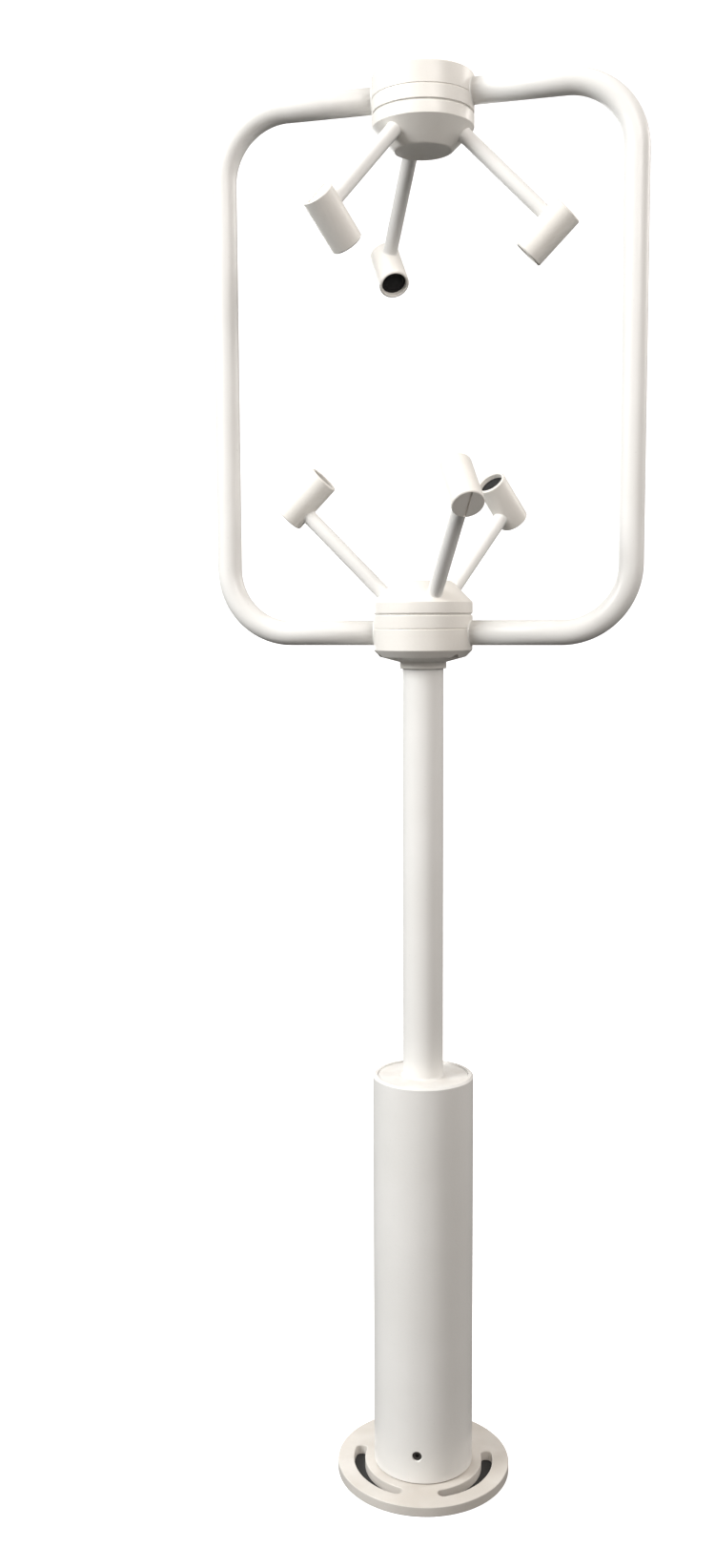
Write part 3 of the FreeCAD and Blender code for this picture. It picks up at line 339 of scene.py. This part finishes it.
def worked(shell, tools, operation="DIFFERENCE"):
    """Takes tools out of a shell, or joins them to it."""
    def stand_in(blank):
        mesh = bpy.data.meshes.new("blank")
        blank.to_mesh(mesh)
        blank.free()
        made = bpy.data.objects.new("blank", mesh)
        bpy.context.scene.collection.objects.link(made)
        return made

    work = stand_in(shell)
    spares = [stand_in(tool) for tool in tools]
    for spare in spares:
        step = work.modifiers.new("step", "BOOLEAN")
        step.operation = operation
        step.solver = "EXACT"
        step.object = spare
    seen = work.evaluated_get(bpy.context.evaluated_depsgraph_get())
    mesh = bpy.data.meshes.new_from_object(seen)
    result = bmesh.new()
    result.from_mesh(mesh)
    bpy.data.meshes.remove(mesh)
    for spare in (work, *spares):
        bpy.data.meshes.remove(spare.data)
    bmesh.ops.remove_doubles(result, verts=result.verts[:], dist=WELD)
    return result


def as_piece(name, shell, finish, slot, body, *nodes):
    """Puts a finished shell in the scene, on its body, in place of its CAD nodes."""
    mesh = bpy.data.meshes.new(name)
    shell.to_mesh(mesh)
    shell.free()
    mesh.shade_smooth()
    mesh.set_sharp_from_angle(angle=SMOOTH_UNDER)
    mesh.materials.append(finish)
    made = bpy.data.objects.new(name, mesh)
    bpy.context.scene.collection.objects.link(made)
    weigh = made.modifiers.new("even_shading", "WEIGHTED_NORMAL")
    weigh.keep_sharp = True
    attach(made, body)
    if nodes:
        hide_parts(*nodes)
    return made


def swept_point(sheet, start, centre, angle, steps):
    """A run of edges from a point swept about an upright line."""
    first = sheet.verts.new(Vector(start) * MM)
    bmesh.ops.spin(sheet, geom=[first], cent=Vector(centre) * MM, axis=(0, 0, 1), angle=angle,
                   steps=steps)


def round_of(radius, degrees, height=0.0):
    """A point on a circle about the mast's axis."""
    angle = math.radians(degrees)
    return Vector((radius * math.cos(angle), radius * math.sin(angle), height))


FLANGE_RADIUS = 55.0
FLANGE_THICK = 6.5
RECESS_RADIUS = 19.0
SPIGOT_RADIUS = 27.95
SLOT_RADIUS = 41.0
SLOT_HALF = 3.5
SLOT_SPAN = 39.0
SLOT_TURNS = (100, 220, 340)

plate = bmesh.new()
for rim_radius in (FLANGE_RADIUS, RECESS_RADIUS):
    swept_point(plate, (rim_radius, 0, 0), (0, 0, 0), math.tau, TURN_STEPS)
for slot_turn in SLOT_TURNS:
    outer, inner = SLOT_RADIUS + SLOT_HALF, SLOT_RADIUS - SLOT_HALF
    first_end, last_end = slot_turn - SLOT_SPAN, slot_turn + SLOT_SPAN
    sweep = math.radians(2 * SLOT_SPAN)
    swept_point(plate, round_of(outer, first_end), (0, 0, 0), sweep, 44)
    swept_point(plate, round_of(outer, last_end), round_of(SLOT_RADIUS, last_end), math.pi, 14)
    swept_point(plate, round_of(inner, last_end), (0, 0, 0), -sweep, 44)
    swept_point(plate, round_of(inner, first_end), round_of(SLOT_RADIUS, first_end), math.pi, 14)
bmesh.ops.remove_doubles(plate, verts=plate.verts[:], dist=WELD)
bmesh.ops.triangle_fill(plate, use_beauty=True, use_dissolve=False, edges=plate.edges[:],
                        normal=(0, 0, 1))
bmesh.ops.solidify(plate, geom=plate.faces[:], thickness=FLANGE_THICK * MM)
bmesh.ops.recalc_face_normals(plate, faces=plate.faces[:])
plate_low = min(vert.co.z for vert in plate.verts)
bmesh.ops.translate(plate, vec=(0, 0, -plate_low), verts=plate.verts[:])
softened(plate, 0.7, 3)
spigot = turned([
    (RECESS_RADIUS, 5.6), (SPIGOT_RADIUS, 5.6), (SPIGOT_RADIUS, 22.1), (23.0, 22.1), (23.0, 27.9),
    (SPIGOT_RADIUS, 27.9), (SPIGOT_RADIUS, 37.0), (25.55, 37.0), (25.55, 40.0), (SPIGOT_RADIUS, 40.0),
    (SPIGOT_RADIUS, 45.0), (26.95, 46.0), (22.0, 46.0), (22.0, 30.0), (8.03, 30.0), (8.03, 26.0),
    (RECESS_RADIUS, 26.0),
])
# A warmer tone of its own, and darker as painted shade: a shaded copy of the white coat.
flange_coat_with_painted_shade = powder_coat("flange_powder_coat_with_painted_shade", (0.76, 0.725, 0.68), (0.65, 0.615, 0.57))
as_piece("flange_casting", worked(plate, [spigot], "UNION"), flange_coat_with_painted_shade, "white_coat", "base",
         "base_flange")


# ---------------------------------------------------------------- connector under the flange
# Round panel connector: a nickel-plated brass barrel with a threaded outside and keyways at its mouth, a
# black moulded insert with eight gold pins, held from above by a thin nut. A grey lead runs up from it.

BARREL_MOUTH = 10.0
BARREL_PITCH = 1.0
BARREL_RIDGES = 10
THREAD_START = 1.6
KEYWAYS = ((0, 2.2), (75, 1.2), (140, 1.2), (220, 1.2), (285, 1.2))
KEYWAY_RADIUS = 7.2
barrel_thread = []
for ridge in range(BARREL_RIDGES):
    start = BARREL_MOUTH + THREAD_START + ridge * BARREL_PITCH
    barrel_thread += [(8.55, start), (9.0, start + 0.35), (9.0, start + 0.6)]
barrel = turned([
    (7.2, BARREL_MOUTH), (8.7, BARREL_MOUTH), (9.0, BARREL_MOUTH + 0.3), (9.0, BARREL_MOUTH + 1.3),
    *barrel_thread, (8.55, 22.4), (8.55, 24.0), (10.7, 24.0), (11.0, 24.3), (11.0, 26.0), (8.0, 26.0),
    (8.0, 35.0), (7.2, 35.0),
], 96)
keyways = []
for key_turn, key_width in KEYWAYS:
    keyway = bmesh.new()
    bmesh.ops.create_cube(keyway, size=1.0)
    bmesh.ops.scale(keyway, vec=Vector((1.6, key_width, 9.0)) * MM, verts=keyway.verts[:])
    keyways.append(placed(keyway, Matrix.Translation(Vector((KEYWAY_RADIUS, 0, BARREL_MOUTH + 4.0)) * MM),
                          Matrix.Rotation(math.radians(key_turn), 4, "Z")))
bright_nickel = finish_of(
    "bright_nickel",
    lambda tree: toned(tree, ranged(tree, noise(tree, 120, 4), 0.0, 1.0),
                       (0.78, 0.75, 0.70), (0.60, 0.57, 0.52)),
    lambda tree: ranged(tree, noise(tree, 300, 3), 0.18, 0.34),
    lambda tree: relief(tree, noise(tree, 900, 2, (1, 1, 6)), 0.004), metallic=1.0)
as_piece("connector_barrel", worked(barrel, keyways), bright_nickel, "nickel", "base", "connector_shell")


def dress(node, finish):
    """A carried-over node keeps its shape and takes a finish."""
    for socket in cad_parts[node].material_slots:
        socket.material = finish


moulded_black = finish_of(
    "moulded_black",
    lambda tree: toned(tree, noise(tree, 260, 3), (0.022, 0.022, 0.024), (0.045, 0.045, 0.048)),
    lambda tree: ranged(tree, noise(tree, 700, 2), 0.38, 0.55),
    lambda tree: relief(tree, noise(tree, 3200, 2), 0.01))
contact_gold = finish_of(
    "contact_gold",
    lambda tree: toned(tree, noise(tree, 900, 3), (0.95, 0.68, 0.28), (0.82, 0.55, 0.20)),
    lambda tree: ranged(tree, noise(tree, 1500, 2), 0.16, 0.30), metallic=1.0)
lead_sheath = finish_of(
    "lead_sheath",
    lambda tree: toned(tree, noise(tree, 180, 4), (0.06, 0.06, 0.065), (0.10, 0.10, 0.105)),
    lambda tree: ranged(tree, noise(tree, 500, 3), 0.45, 0.62),
    lambda tree: relief(tree, noise(tree, 1800, 2, (1, 1, 0.2)), 0.02))
seal_rubber = finish_of(
    "seal_rubber",
    lambda tree: toned(tree, noise(tree, 300, 4), (0.018, 0.018, 0.019), (0.04, 0.04, 0.041)),
    lambda tree: ranged(tree, noise(tree, 600, 3), 0.5, 0.72),
    lambda tree: relief(tree, noise(tree, 2200, 3), 0.015))
dress("connector_insert", moulded_black)
dress("connector_pins", contact_gold)
dress("connector_nut", bright_nickel)
dress("base_lead", lead_sheath)
dress("base_oring", seal_rubber)


# ---------------------------------------------------------------- housing tube
# Thick aluminium tube that drops over the spigot and turns on it. Three socket-head grub screws through its
# foot ride in the spigot's groove and clamp it. Its top rim is chamfered; coated white inside and out.

HOUSING_RADIUS = 31.5
HOUSING_BORE = 28.0
HOUSING_FOOT = 6.8
HOUSING_CHAMFER = 1.2
CAP_BORE = 28.5
HOUSING_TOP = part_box("housing_tube")[1].z / MM
CAP_SEAT = HOUSING_TOP - 11.8
GRUB_LEVEL = 25.0
GRUB_TURNS = (-84, 36, 156)

barrel_wall = softened(turned([
    (HOUSING_BORE, HOUSING_FOOT), (HOUSING_RADIUS - 0.6, HOUSING_FOOT),
    (HOUSING_RADIUS, HOUSING_FOOT + 0.6), (HOUSING_RADIUS, HOUSING_TOP - HOUSING_CHAMFER),
    (HOUSING_RADIUS - HOUSING_CHAMFER, HOUSING_TOP), (CAP_BORE, HOUSING_TOP), (CAP_BORE, CAP_SEAT),
    (HOUSING_BORE, CAP_SEAT),
]), 0.15)
grub_drills = []
for grub_turn in GRUB_TURNS:
    drill = turned([(0, 26.0), (3.0, 26.0), (3.0, 31.05), (3.9, 31.95), (3.9, 34.0), (0, 34.0)], 48)
    grub_drills.append(placed(drill, Matrix.Rotation(math.pi / 2, 4, "Y"),
                              Matrix.Rotation(math.radians(grub_turn), 4, "Z"),
                              Matrix.Translation((0, 0, GRUB_LEVEL * MM))))
white_coat = powder_coat("white_powder_coat", (0.86, 0.85, 0.83), (0.81, 0.80, 0.775))
as_piece("housing_barrel", worked(barrel_wall, grub_drills), white_coat, "white_coat", "instrument",
         "housing_tube")

brushed_steel = finish_of(
    "brushed_steel",
    lambda tree: toned(tree, noise(tree, 220, 4), (0.60, 0.59, 0.57), (0.44, 0.43, 0.41)),
    lambda tree: ranged(tree, noise(tree, 700, 3), 0.24, 0.42),
    lambda tree: relief(tree, noise(tree, 1600, 2, (1, 1, 4)), 0.01), metallic=1.0)
blackened_steel = finish_of(
    "blackened_steel",
    lambda tree: toned(tree, noise(tree, 240, 4), (0.055, 0.053, 0.05), (0.12, 0.115, 0.11)),
    lambda tree: ranged(tree, noise(tree, 700, 3), 0.35, 0.5), metallic=0.7)
dress("grub_screws", blackened_steel)


# ---------------------------------------------------------------- housing cap
# Turned aluminium disc on a step inside the housing, a little below its rim, with a sealing ring round its
# edge. It carries the mast; the joint to the mast is filled and painted over in a small hollow curve.

MAST_RADIUS = 12.5
CAP_TOP = CAP_SEAT + 11.0
cap_disc = softened(turned([
    (MAST_RADIUS + 0.03, CAP_SEAT), (28.47, CAP_SEAT), (28.47, CAP_SEAT + 3.5), (26.07, CAP_SEAT + 3.5),
    (26.07, CAP_SEAT + 6.5), (28.47, CAP_SEAT + 6.5), (28.47, CAP_TOP - 0.5), (27.97, CAP_TOP),
    (MAST_RADIUS + 0.03, CAP_TOP),
]), 0.12)
as_piece("housing_cap_disc", cap_disc, white_coat, "white_coat", "instrument", "housing_cap")
dress("cap_oring", seal_rubber)


FILLET_SIZE = 1.3
FILLET_TURNS = 6
foot_curve = []
for step in range(FILLET_TURNS + 1):
    angle = math.pi / 2 * step / FILLET_TURNS
    foot_curve.append((MAST_RADIUS + FILLET_SIZE * (1 - math.sin(angle)),
                       CAP_TOP + FILLET_SIZE * (1 - math.cos(angle))))
foot_ring = [
    (MAST_RADIUS - 0.02, CAP_TOP - 0.15), (MAST_RADIUS + FILLET_SIZE, CAP_TOP - 0.15), *foot_curve,
    (MAST_RADIUS - 0.02, CAP_TOP + FILLET_SIZE),
]
as_piece("mast_foot_fillet", turned(foot_ring), white_coat, "white_coat", "instrument")


# ---------------------------------------------------------------- mast
# Drawn aluminium tube from the cap to the lower hub, bare of joints, coated white. A slotted ring nut holds
# its foot under the cap. The signal loom runs up inside it.

MAST_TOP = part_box("mast_tube")[1].z / MM
MAST_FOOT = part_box("mast_tube")[0].z / MM
MAST_BORE = MAST_RADIUS - 1.5
mast_pole = softened(turned([
    (MAST_BORE, MAST_FOOT), (MAST_RADIUS, MAST_FOOT), (MAST_RADIUS, MAST_TOP), (MAST_BORE, MAST_TOP),
]), 0.2)
as_piece("mast_pole", mast_pole, white_coat, "white_coat", "instrument", "mast_tube")
dress("mast_nut", brushed_steel)
dress("mast_loom", lead_sheath)


# ---------------------------------------------------------------- boards in the housing
# Two round circuit boards on three steel rods under the cap, spaced with nylon tubes. Packages, a ribbon
# between the boards and a plug for the base's lead. Closed in, and serviced by lifting the cap out.

def solder_mask(tree):
    """Green lacquer over copper runs, with bare pads."""
    place = tree.nodes.new("ShaderNodeTexCoord")
    grid = tree.nodes.new("ShaderNodeTexBrick")
    grid.inputs["Scale"].default_value = 260
    grid.inputs["Color1"].default_value = (0.010, 0.10, 0.035, 1)
    grid.inputs["Color2"].default_value = (0.014, 0.13, 0.045, 1)
    grid.inputs["Mortar"].default_value = (0.03, 0.20, 0.07, 1)
    grid.inputs["Mortar Size"].default_value = 0.06
    tree.links.new(place.outputs["Object"], grid.inputs["Vector"])
    pads = tree.nodes.new("ShaderNodeTexVoronoi")
    pads.inputs["Scale"].default_value = 420
    tree.links.new(place.outputs["Object"], pads.inputs["Vector"])
    dots = ranged(tree, pads.outputs["Distance"], 1.0, 0.0, 0.10, 0.13)
    return toned(tree, dots, grid.outputs["Color"], (0.75, 0.60, 0.30))


circuit_board = finish_of("circuit_board_green", solder_mask,
                          lambda tree: ranged(tree, noise(tree, 400, 2), 0.28, 0.42))
package_epoxy = finish_of(
    "package_epoxy",
    lambda tree: toned(tree, noise(tree, 500, 3), (0.02, 0.02, 0.022), (0.05, 0.05, 0.052)),
    lambda tree: ranged(tree, noise(tree, 900, 2), 0.42, 0.6),
    lambda tree: relief(tree, noise(tree, 4000, 2), 0.008))
nylon_white = finish_of(
    "nylon_white",
    lambda tree: toned(tree, noise(tree, 140, 3), (0.72, 0.70, 0.63), (0.62, 0.60, 0.53)),
    lambda tree: ranged(tree, noise(tree, 500, 2), 0.4, 0.52))


def ribbon_stripes(tree):
    """Grey conductors side by side, the first one red."""
    place = tree.nodes.new("ShaderNodeTexCoord")
    across = tree.nodes.new("ShaderNodeSeparateXYZ")
    tree.links.new(place.outputs["Object"], across.inputs[0])
    wave = tree.nodes.new("ShaderNodeTexWave")
    wave.inputs["Scale"].default_value = 250
    tree.links.new(place.outputs["Object"], wave.inputs["Vector"])
    grey = toned(tree, wave.outputs["Fac"], (0.22, 0.22, 0.23), (0.42, 0.42, 0.43))
    marked = ranged(tree, across.outputs["X"], 1.0, 0.0, -0.0048, -0.0046)
    return toned(tree, marked, grey, (0.45, 0.03, 0.03))


ribbon_grey = finish_of("ribbon_grey", ribbon_stripes,
                        lambda tree: ranged(tree, noise(tree, 300, 2), 0.4, 0.55))
dress("chassis_rods", brushed_steel)
dress("board_spacers", nylon_white)
dress("rod_nuts", brushed_steel)
dress("board_upper", circuit_board)
dress("board_lower", circuit_board)
dress("components_upper", package_epoxy)
dress("components_lower", package_epoxy)
dress("board_ribbon", ribbon_grey)
dress("lead_plug", moulded_black)


# ---------------------------------------------------------------- hubs
# Two turned aluminium hubs that hold the frame tubes and carry the arms: a cup and a cone-shaped cover
# each, with a silicone gasket between, drawn together by three long screws from the cup's side. Their
# white coat has yellowed a little more than the tubes' coat.

HUB_RADIUS = 30.0
HUB_HEIGHT = 29.0
HUB_PART = 21.1
HUB_CAVITY = 14.5
MAST_SOCKET = 12.53
COLLAR_RADIUS = 14.2
LID_WELL = 19.2
LOWER_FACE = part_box("lower_hub_body")[0].z / MM + 11.0
UPPER_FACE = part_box("upper_hub_body")[1].z / MM
PATH_CENTRE = (LOWER_FACE + UPPER_FACE) / 2
TUBE_LEVEL = 10.5
SET_SCREW_PLACE = 25.5
SCREW_RADIUS = 24.6
SCREW_TURNS = (90, 210, 330)
ARM_TURNS = (180, 300, 60)
on_lower = Matrix.Translation((0, 0, LOWER_FACE * MM))
on_upper = Matrix.Translation((0, 0, UPPER_FACE * MM)) @ Matrix.Rotation(math.pi, 4, "Y")

cup_wall = [
    (HUB_RADIUS, 12.55), (HUB_RADIUS - 0.5, 12.8), (HUB_RADIUS - 0.5, 13.2), (HUB_RADIUS, 13.45),
    (HUB_RADIUS, HUB_PART - 0.3), (HUB_RADIUS - 0.3, HUB_PART), (HUB_CAVITY, HUB_PART),
]
lower_cup = [
    (MAST_SOCKET, -11.0), (COLLAR_RADIUS - 0.3, -11.0), (COLLAR_RADIUS, -10.7), (COLLAR_RADIUS, -7.1),
    (26.1, -3.9), (29.7, -0.2), (HUB_RADIUS, 0.3), *cup_wall, (HUB_CAVITY, 2.2), (11.0, 2.2),
    (11.0, 1.0), (MAST_SOCKET, 1.0),
]
upper_cup = [
    (LID_WELL, 0), (HUB_RADIUS - 0.8, 0), (HUB_RADIUS, 0.8), *cup_wall, (HUB_CAVITY, 2.0),
    (LID_WELL, 2.0),
]


def cup_tools():
    """Cross bores for the frame tubes, their set-screw holes and the long screws' counterbores."""
    tools = []
    for side in (-1, 1):
        bore = turned([(0, 13.5), (7.53, 13.5), (7.53, 29.4), (8.2, 30.3), (8.2, 32.0), (0, 32.0)], 96)
        tools.append(placed(bore, Matrix.Rotation(side * math.pi / 2, 4, "Y"),
                            Matrix.Translation((0, 0, TUBE_LEVEL * MM))))
        hole = turned([(0, -20.0), (1.53, -20.0), (1.53, 9.0), (0, 9.0)], 32)
        tools.append(placed(hole, Matrix.Translation((side * SET_SCREW_PLACE * MM, 0, 0))))
    for turn in SCREW_TURNS:
        well = turned([(0, -16.0), (3.15, -16.0), (3.15, 4.0), (1.7, 4.0), (1.7, 25.0), (0, 25.0)], 40)
        tools.append(placed(well, Matrix.Translation(round_of(SCREW_RADIUS, turn) * MM)))
    return tools


sunned_coat = powder_coat("sunned_powder_coat", (0.87, 0.845, 0.80), (0.82, 0.79, 0.74))
for name, profile, frame_at, node in (("lower_hub_cup", lower_cup, on_lower, "lower_hub_body"),
                                      ("upper_hub_cup", upper_cup, on_upper, "upper_hub_body")):
    cup = worked(softened(turned(profile), 0.12), cup_tools())
    as_piece(name, placed(cup, frame_at), sunned_coat, "white_coat", "instrument", node)

cover_profile = [
    (12.0, 19.9), (14.47, 19.9), (14.47, 21.9), (29.4, 21.9), (HUB_RADIUS, 22.5), (HUB_RADIUS, 28.7),
    (29.8, 29.2), (17.9, 41.1), (16.5, 41.8), (0, 41.8), (0, 34.0), (12.0, 34.0),
]
gasket_grey = finish_of(
    "gasket_silicone",
    lambda tree: toned(tree, noise(tree, 260, 3), (0.68, 0.665, 0.63), (0.58, 0.565, 0.535)),
    lambda tree: ranged(tree, noise(tree, 500, 3), 0.5, 0.66))
ARM_RADIUS = 4.5
ARM_FOOT = 24.6


def arm_bore(turn):
    """A drill on an arm's line, square to the cone, from above its face down to the wiring space."""
    foot_height = HUB_HEIGHT + HUB_RADIUS - ARM_FOOT
    drill = turned([(0, -11.46), (ARM_RADIUS + 0.03, -11.46), (ARM_RADIUS + 0.03, 4.0), (0, 4.0)], 48)
    return placed(drill, Matrix.Rotation(math.pi / 4, 4, "Y"),
                  Matrix.Translation(Vector((ARM_FOOT, 0, foot_height)) * MM),
                  Matrix.Rotation(math.radians(turn), 4, "Z"))


for row, frame_at in (("lower", on_lower), ("upper", on_upper)):
    cover = worked(softened(turned(cover_profile), 0.15), [arm_bore(turn) for turn in ARM_TURNS])
    as_piece(row + "_hub_cone", placed(cover, frame_at), sunned_coat, "white_coat", "instrument",
             row + "_hub_dome")
    dress(row + "_hub_gasket", gasket_grey)
    dress(row + "_hub_screws", brushed_steel)

LID_TURNS = (45, 135, 225, 315)
LID_SCREW_RADIUS = 16.4
lid = softened(turned([(0, -1.0), (17.8, -1.0), (19.0, 0.2), (19.0, 2.0), (0, 2.0)]), 0.15)
sinks = []
for turn in LID_TURNS:
    sink = turned([(0, -2.0), (2.23, -2.0), (2.23, -1.0), (1.28, 0.0), (1.28, 3.0), (0, 3.0)], 40)
    sinks.append(placed(sink, Matrix.Translation(round_of(LID_SCREW_RADIUS, turn) * MM)))
as_piece("upper_hub_cover_plate", placed(worked(lid, sinks), on_upper), sunned_coat, "white_coat",
         "instrument", "upper_hub_lid")
dress("lid_screws", brushed_steel)


# ---------------------------------------------------------------- frame tubes
# Two aluminium tubes, each bent twice, that close the loop between the hubs. Their ends sit in the hubs'
# cross bores on rubber rings, pinned by a set screw each, with a thin painted bead round the joint.

TUBE_RADIUS = 7.5
TUBE_WALL = 1.2
LOOP_HALF_WIDTH = 124.0
BEND_RADIUS = 40.0
BEND_CENTRE = LOOP_HALF_WIDTH - BEND_RADIUS
TUBE_END = 15.0
LOW_RUN = LOWER_FACE + TUBE_LEVEL
HIGH_RUN = UPPER_FACE - TUBE_LEVEL


def bent_tube():
    """A ring of edges drawn along the low run, round two bends and back along the high run."""
    tube = bmesh.new()
    bmesh.ops.create_circle(tube, segments=56, radius=TUBE_RADIUS * MM)
    placed(tube, Matrix.Rotation(math.pi / 2, 4, "Y"),
           Matrix.Translation(Vector((TUBE_END, 0, LOW_RUN)) * MM))
    ring = tube.edges[:]

    def edges_of(parts):
        return [part for part in parts if isinstance(part, bmesh.types.BMEdge)]

    def straight(ring, x, z):
        grown = bmesh.ops.extrude_edge_only(tube, edges=ring)["geom"]
        grown_verts = [part for part in grown if isinstance(part, bmesh.types.BMVert)]
        bmesh.ops.translate(tube, vec=Vector((x, 0, z)) * MM, verts=grown_verts)
        return edges_of(grown)

    def bend(ring, z):
        swept = bmesh.ops.spin(tube, geom=ring, cent=Vector((BEND_CENTRE, 0, z)) * MM,
                               axis=(0, -1, 0), angle=math.pi / 2, steps=30)
        return edges_of(swept["geom_last"])

    ring = straight(ring, BEND_CENTRE - TUBE_END, 0)
    ring = bend(ring, LOW_RUN + BEND_RADIUS)
    ring = straight(ring, 0, HIGH_RUN - LOW_RUN - 2 * BEND_RADIUS)
    ring = bend(ring, HIGH_RUN - BEND_RADIUS)
    straight(ring, TUBE_END - BEND_CENTRE, 0)
    bmesh.ops.recalc_face_normals(tube, faces=tube.faces[:])
    return tube


def saddle_bead(radius, section, sag):
    """A thin ring of filler whose height above a curved wall follows sag(y), its axis along +X."""
    ring = turned([
        (radius - section, -section), (radius + section * 0.9, -section),
        (radius + section * 0.35, section * 0.3), (radius, section), (radius - section, section),
    ], 72)
    placed(ring, Matrix.Rotation(math.pi / 2, 4, "Y"))
    for vert in ring.verts:
        vert.co.x += sag(vert.co.y / MM) * MM
    return ring


for side_name, turn in (("right", 0), ("left", math.pi)):
    tube = placed(bent_tube(), Matrix.Rotation(turn, 4, "Z"))
    made = as_piece("loop_tube_" + side_name, tube, white_coat, "white_coat", "instrument",
                    "frame_tube_" + side_name)
    wall = made.modifiers.new("wall", "SOLIDIFY")
    wall.thickness = TUBE_WALL * MM
    wall.offset = -1
    for end, level in (("low", LOW_RUN), ("high", HIGH_RUN)):
        bead = saddle_bead(TUBE_RADIUS, 0.6, lambda y: math.sqrt(HUB_RADIUS ** 2 - y ** 2))
        placed(bead, Matrix.Rotation(turn, 4, "Z"), Matrix.Translation((0, 0, level * MM)))
        as_piece("loop_bead_" + side_name + "_" + end, bead, white_coat, "white_coat", "instrument")
dress("frame_orings", seal_rubber)
dress("frame_set_screws", brushed_steel)
dress("loop_loom", lead_sheath)


# ---------------------------------------------------------------- arms and transducer heads
# Six thin tubes stand square on the hubs' cones, each with a short turned head across its end. A head is a
# tube with a rounded lip, a black sounding face set back in its mouth and a slotted plug in its back.

PATH_HALF = 87.5
HEAD_RADIUS = 9.5
HEAD_BORE = 7.7
HEAD_LENGTH = 33.0
ARM_SETBACK = 23.0
STATION = PATH_HALF + ARM_SETBACK
SLOPE = math.cos(math.pi / 4)
ARM_SUNK = 16.5
ARM_END = (STATION * SLOPE - ARM_SUNK) / SLOPE
ARM_ROOT = (STATION * SLOPE - ARM_FOOT) / SLOPE
CONE_BOW = ARM_FOOT / SLOPE
HEAD_TURNS = (0, 120, 240)

head_profile = [
    (HEAD_BORE + 0.6, 0), (HEAD_RADIUS - 0.8, 0), (HEAD_RADIUS, 0.8), (HEAD_RADIUS, HEAD_LENGTH - 0.6),
    (HEAD_RADIUS - 0.6, HEAD_LENGTH), (8.63, HEAD_LENGTH), (8.63, HEAD_LENGTH - 1.5),
    (HEAD_BORE, HEAD_LENGTH - 1.5), (HEAD_BORE, 0.6),
]
face_profile = [
    (0, 2.85), (2.0, 2.88), (4.0, 2.96), (5.3, 3.05), (5.45, 3.35), (5.85, 3.35), (6.0, 3.05), (7.0, 3.05),
    (7.25, 3.3), (7.67, 3.3), (7.67, 5.0), (6.9, 5.0), (6.9, 14.0), (2.5, 14.0), (2.5, 16.0), (0, 16.0),
]
sounding_face = finish_of(
    "sounding_face",
    lambda tree: toned(tree, noise(tree, 380, 4), (0.010, 0.010, 0.011), (0.028, 0.028, 0.029)),
    lambda tree: ranged(tree, noise(tree, 900, 3), 0.55, 0.8),
    lambda tree: relief(tree, noise(tree, 3800, 3), 0.03))
face_shader = sounding_face.node_tree.nodes["Principled BSDF"]
face_shader.inputs["Specular IOR Level"].default_value = 0.2
along_arm = Matrix.Rotation(math.pi / 2, 4, "Y")
at_setback = Matrix.Translation((0, 0, ARM_SETBACK * MM))

for row, up in (("upper", 1), ("lower", -1)):
    for number, turn in enumerate(HEAD_TURNS, start=1):
        back = round_of(SLOPE, turn, SLOPE) * up
        down_arm = round_of(-SLOPE, turn, SLOPE) * up
        face_centre = Vector((0, 0, PATH_CENTRE)) + back * PATH_HALF
        axes = Matrix((down_arm, back.cross(down_arm), back)).transposed().to_4x4()
        on_head = Matrix.Translation(face_centre * MM) @ axes
        label = f"{row}_{{}}_{number}"

        mouth = softened(turned(head_profile, 96), 0.14)
        side_hole = turned([(0, 0), (4.53, 0), (4.53, 12.0), (0, 12.0)], 48)
        placed(side_hole, along_arm, at_setback)
        as_piece(label.format("sensor_head"), placed(worked(mouth, [side_hole]), on_head), sunned_coat,
                 "white_coat", "instrument", label.format("head"))
        face = softened(turned(face_profile, 72), 0.06)
        as_piece(label.format("sounding_face"), placed(face, on_head), sounding_face, "transducer_face",
                 "instrument", label.format("transducer"))
        stem = turned([(3.5, 7.8), (ARM_RADIUS, 7.8), (ARM_RADIUS, ARM_END), (3.5, ARM_END)], 56)
        as_piece(label.format("arm_tube"), placed(softened(stem, 0.15), along_arm, at_setback, on_head),
                 white_coat, "white_coat", "instrument", label.format("arm"))
        collar = saddle_bead(ARM_RADIUS, 0.5, lambda y: math.sqrt(HEAD_RADIUS ** 2 - y ** 2))
        as_piece(label.format("head_bead"), placed(collar, at_setback, on_head), white_coat, "white_coat",
                 "instrument")
        footing = saddle_bead(ARM_RADIUS, 0.55, lambda y: -ARM_ROOT - y ** 2 / (2 * CONE_BOW))
        placed(footing, Matrix.Rotation(math.pi, 4, "Z"), at_setback, on_head)
        as_piece(label.format("root_bead"), footing, white_coat, "white_coat", "instrument")
    dress(row + "_back_plugs", sunned_coat)
    dress(row + "_leads", lead_sheath)
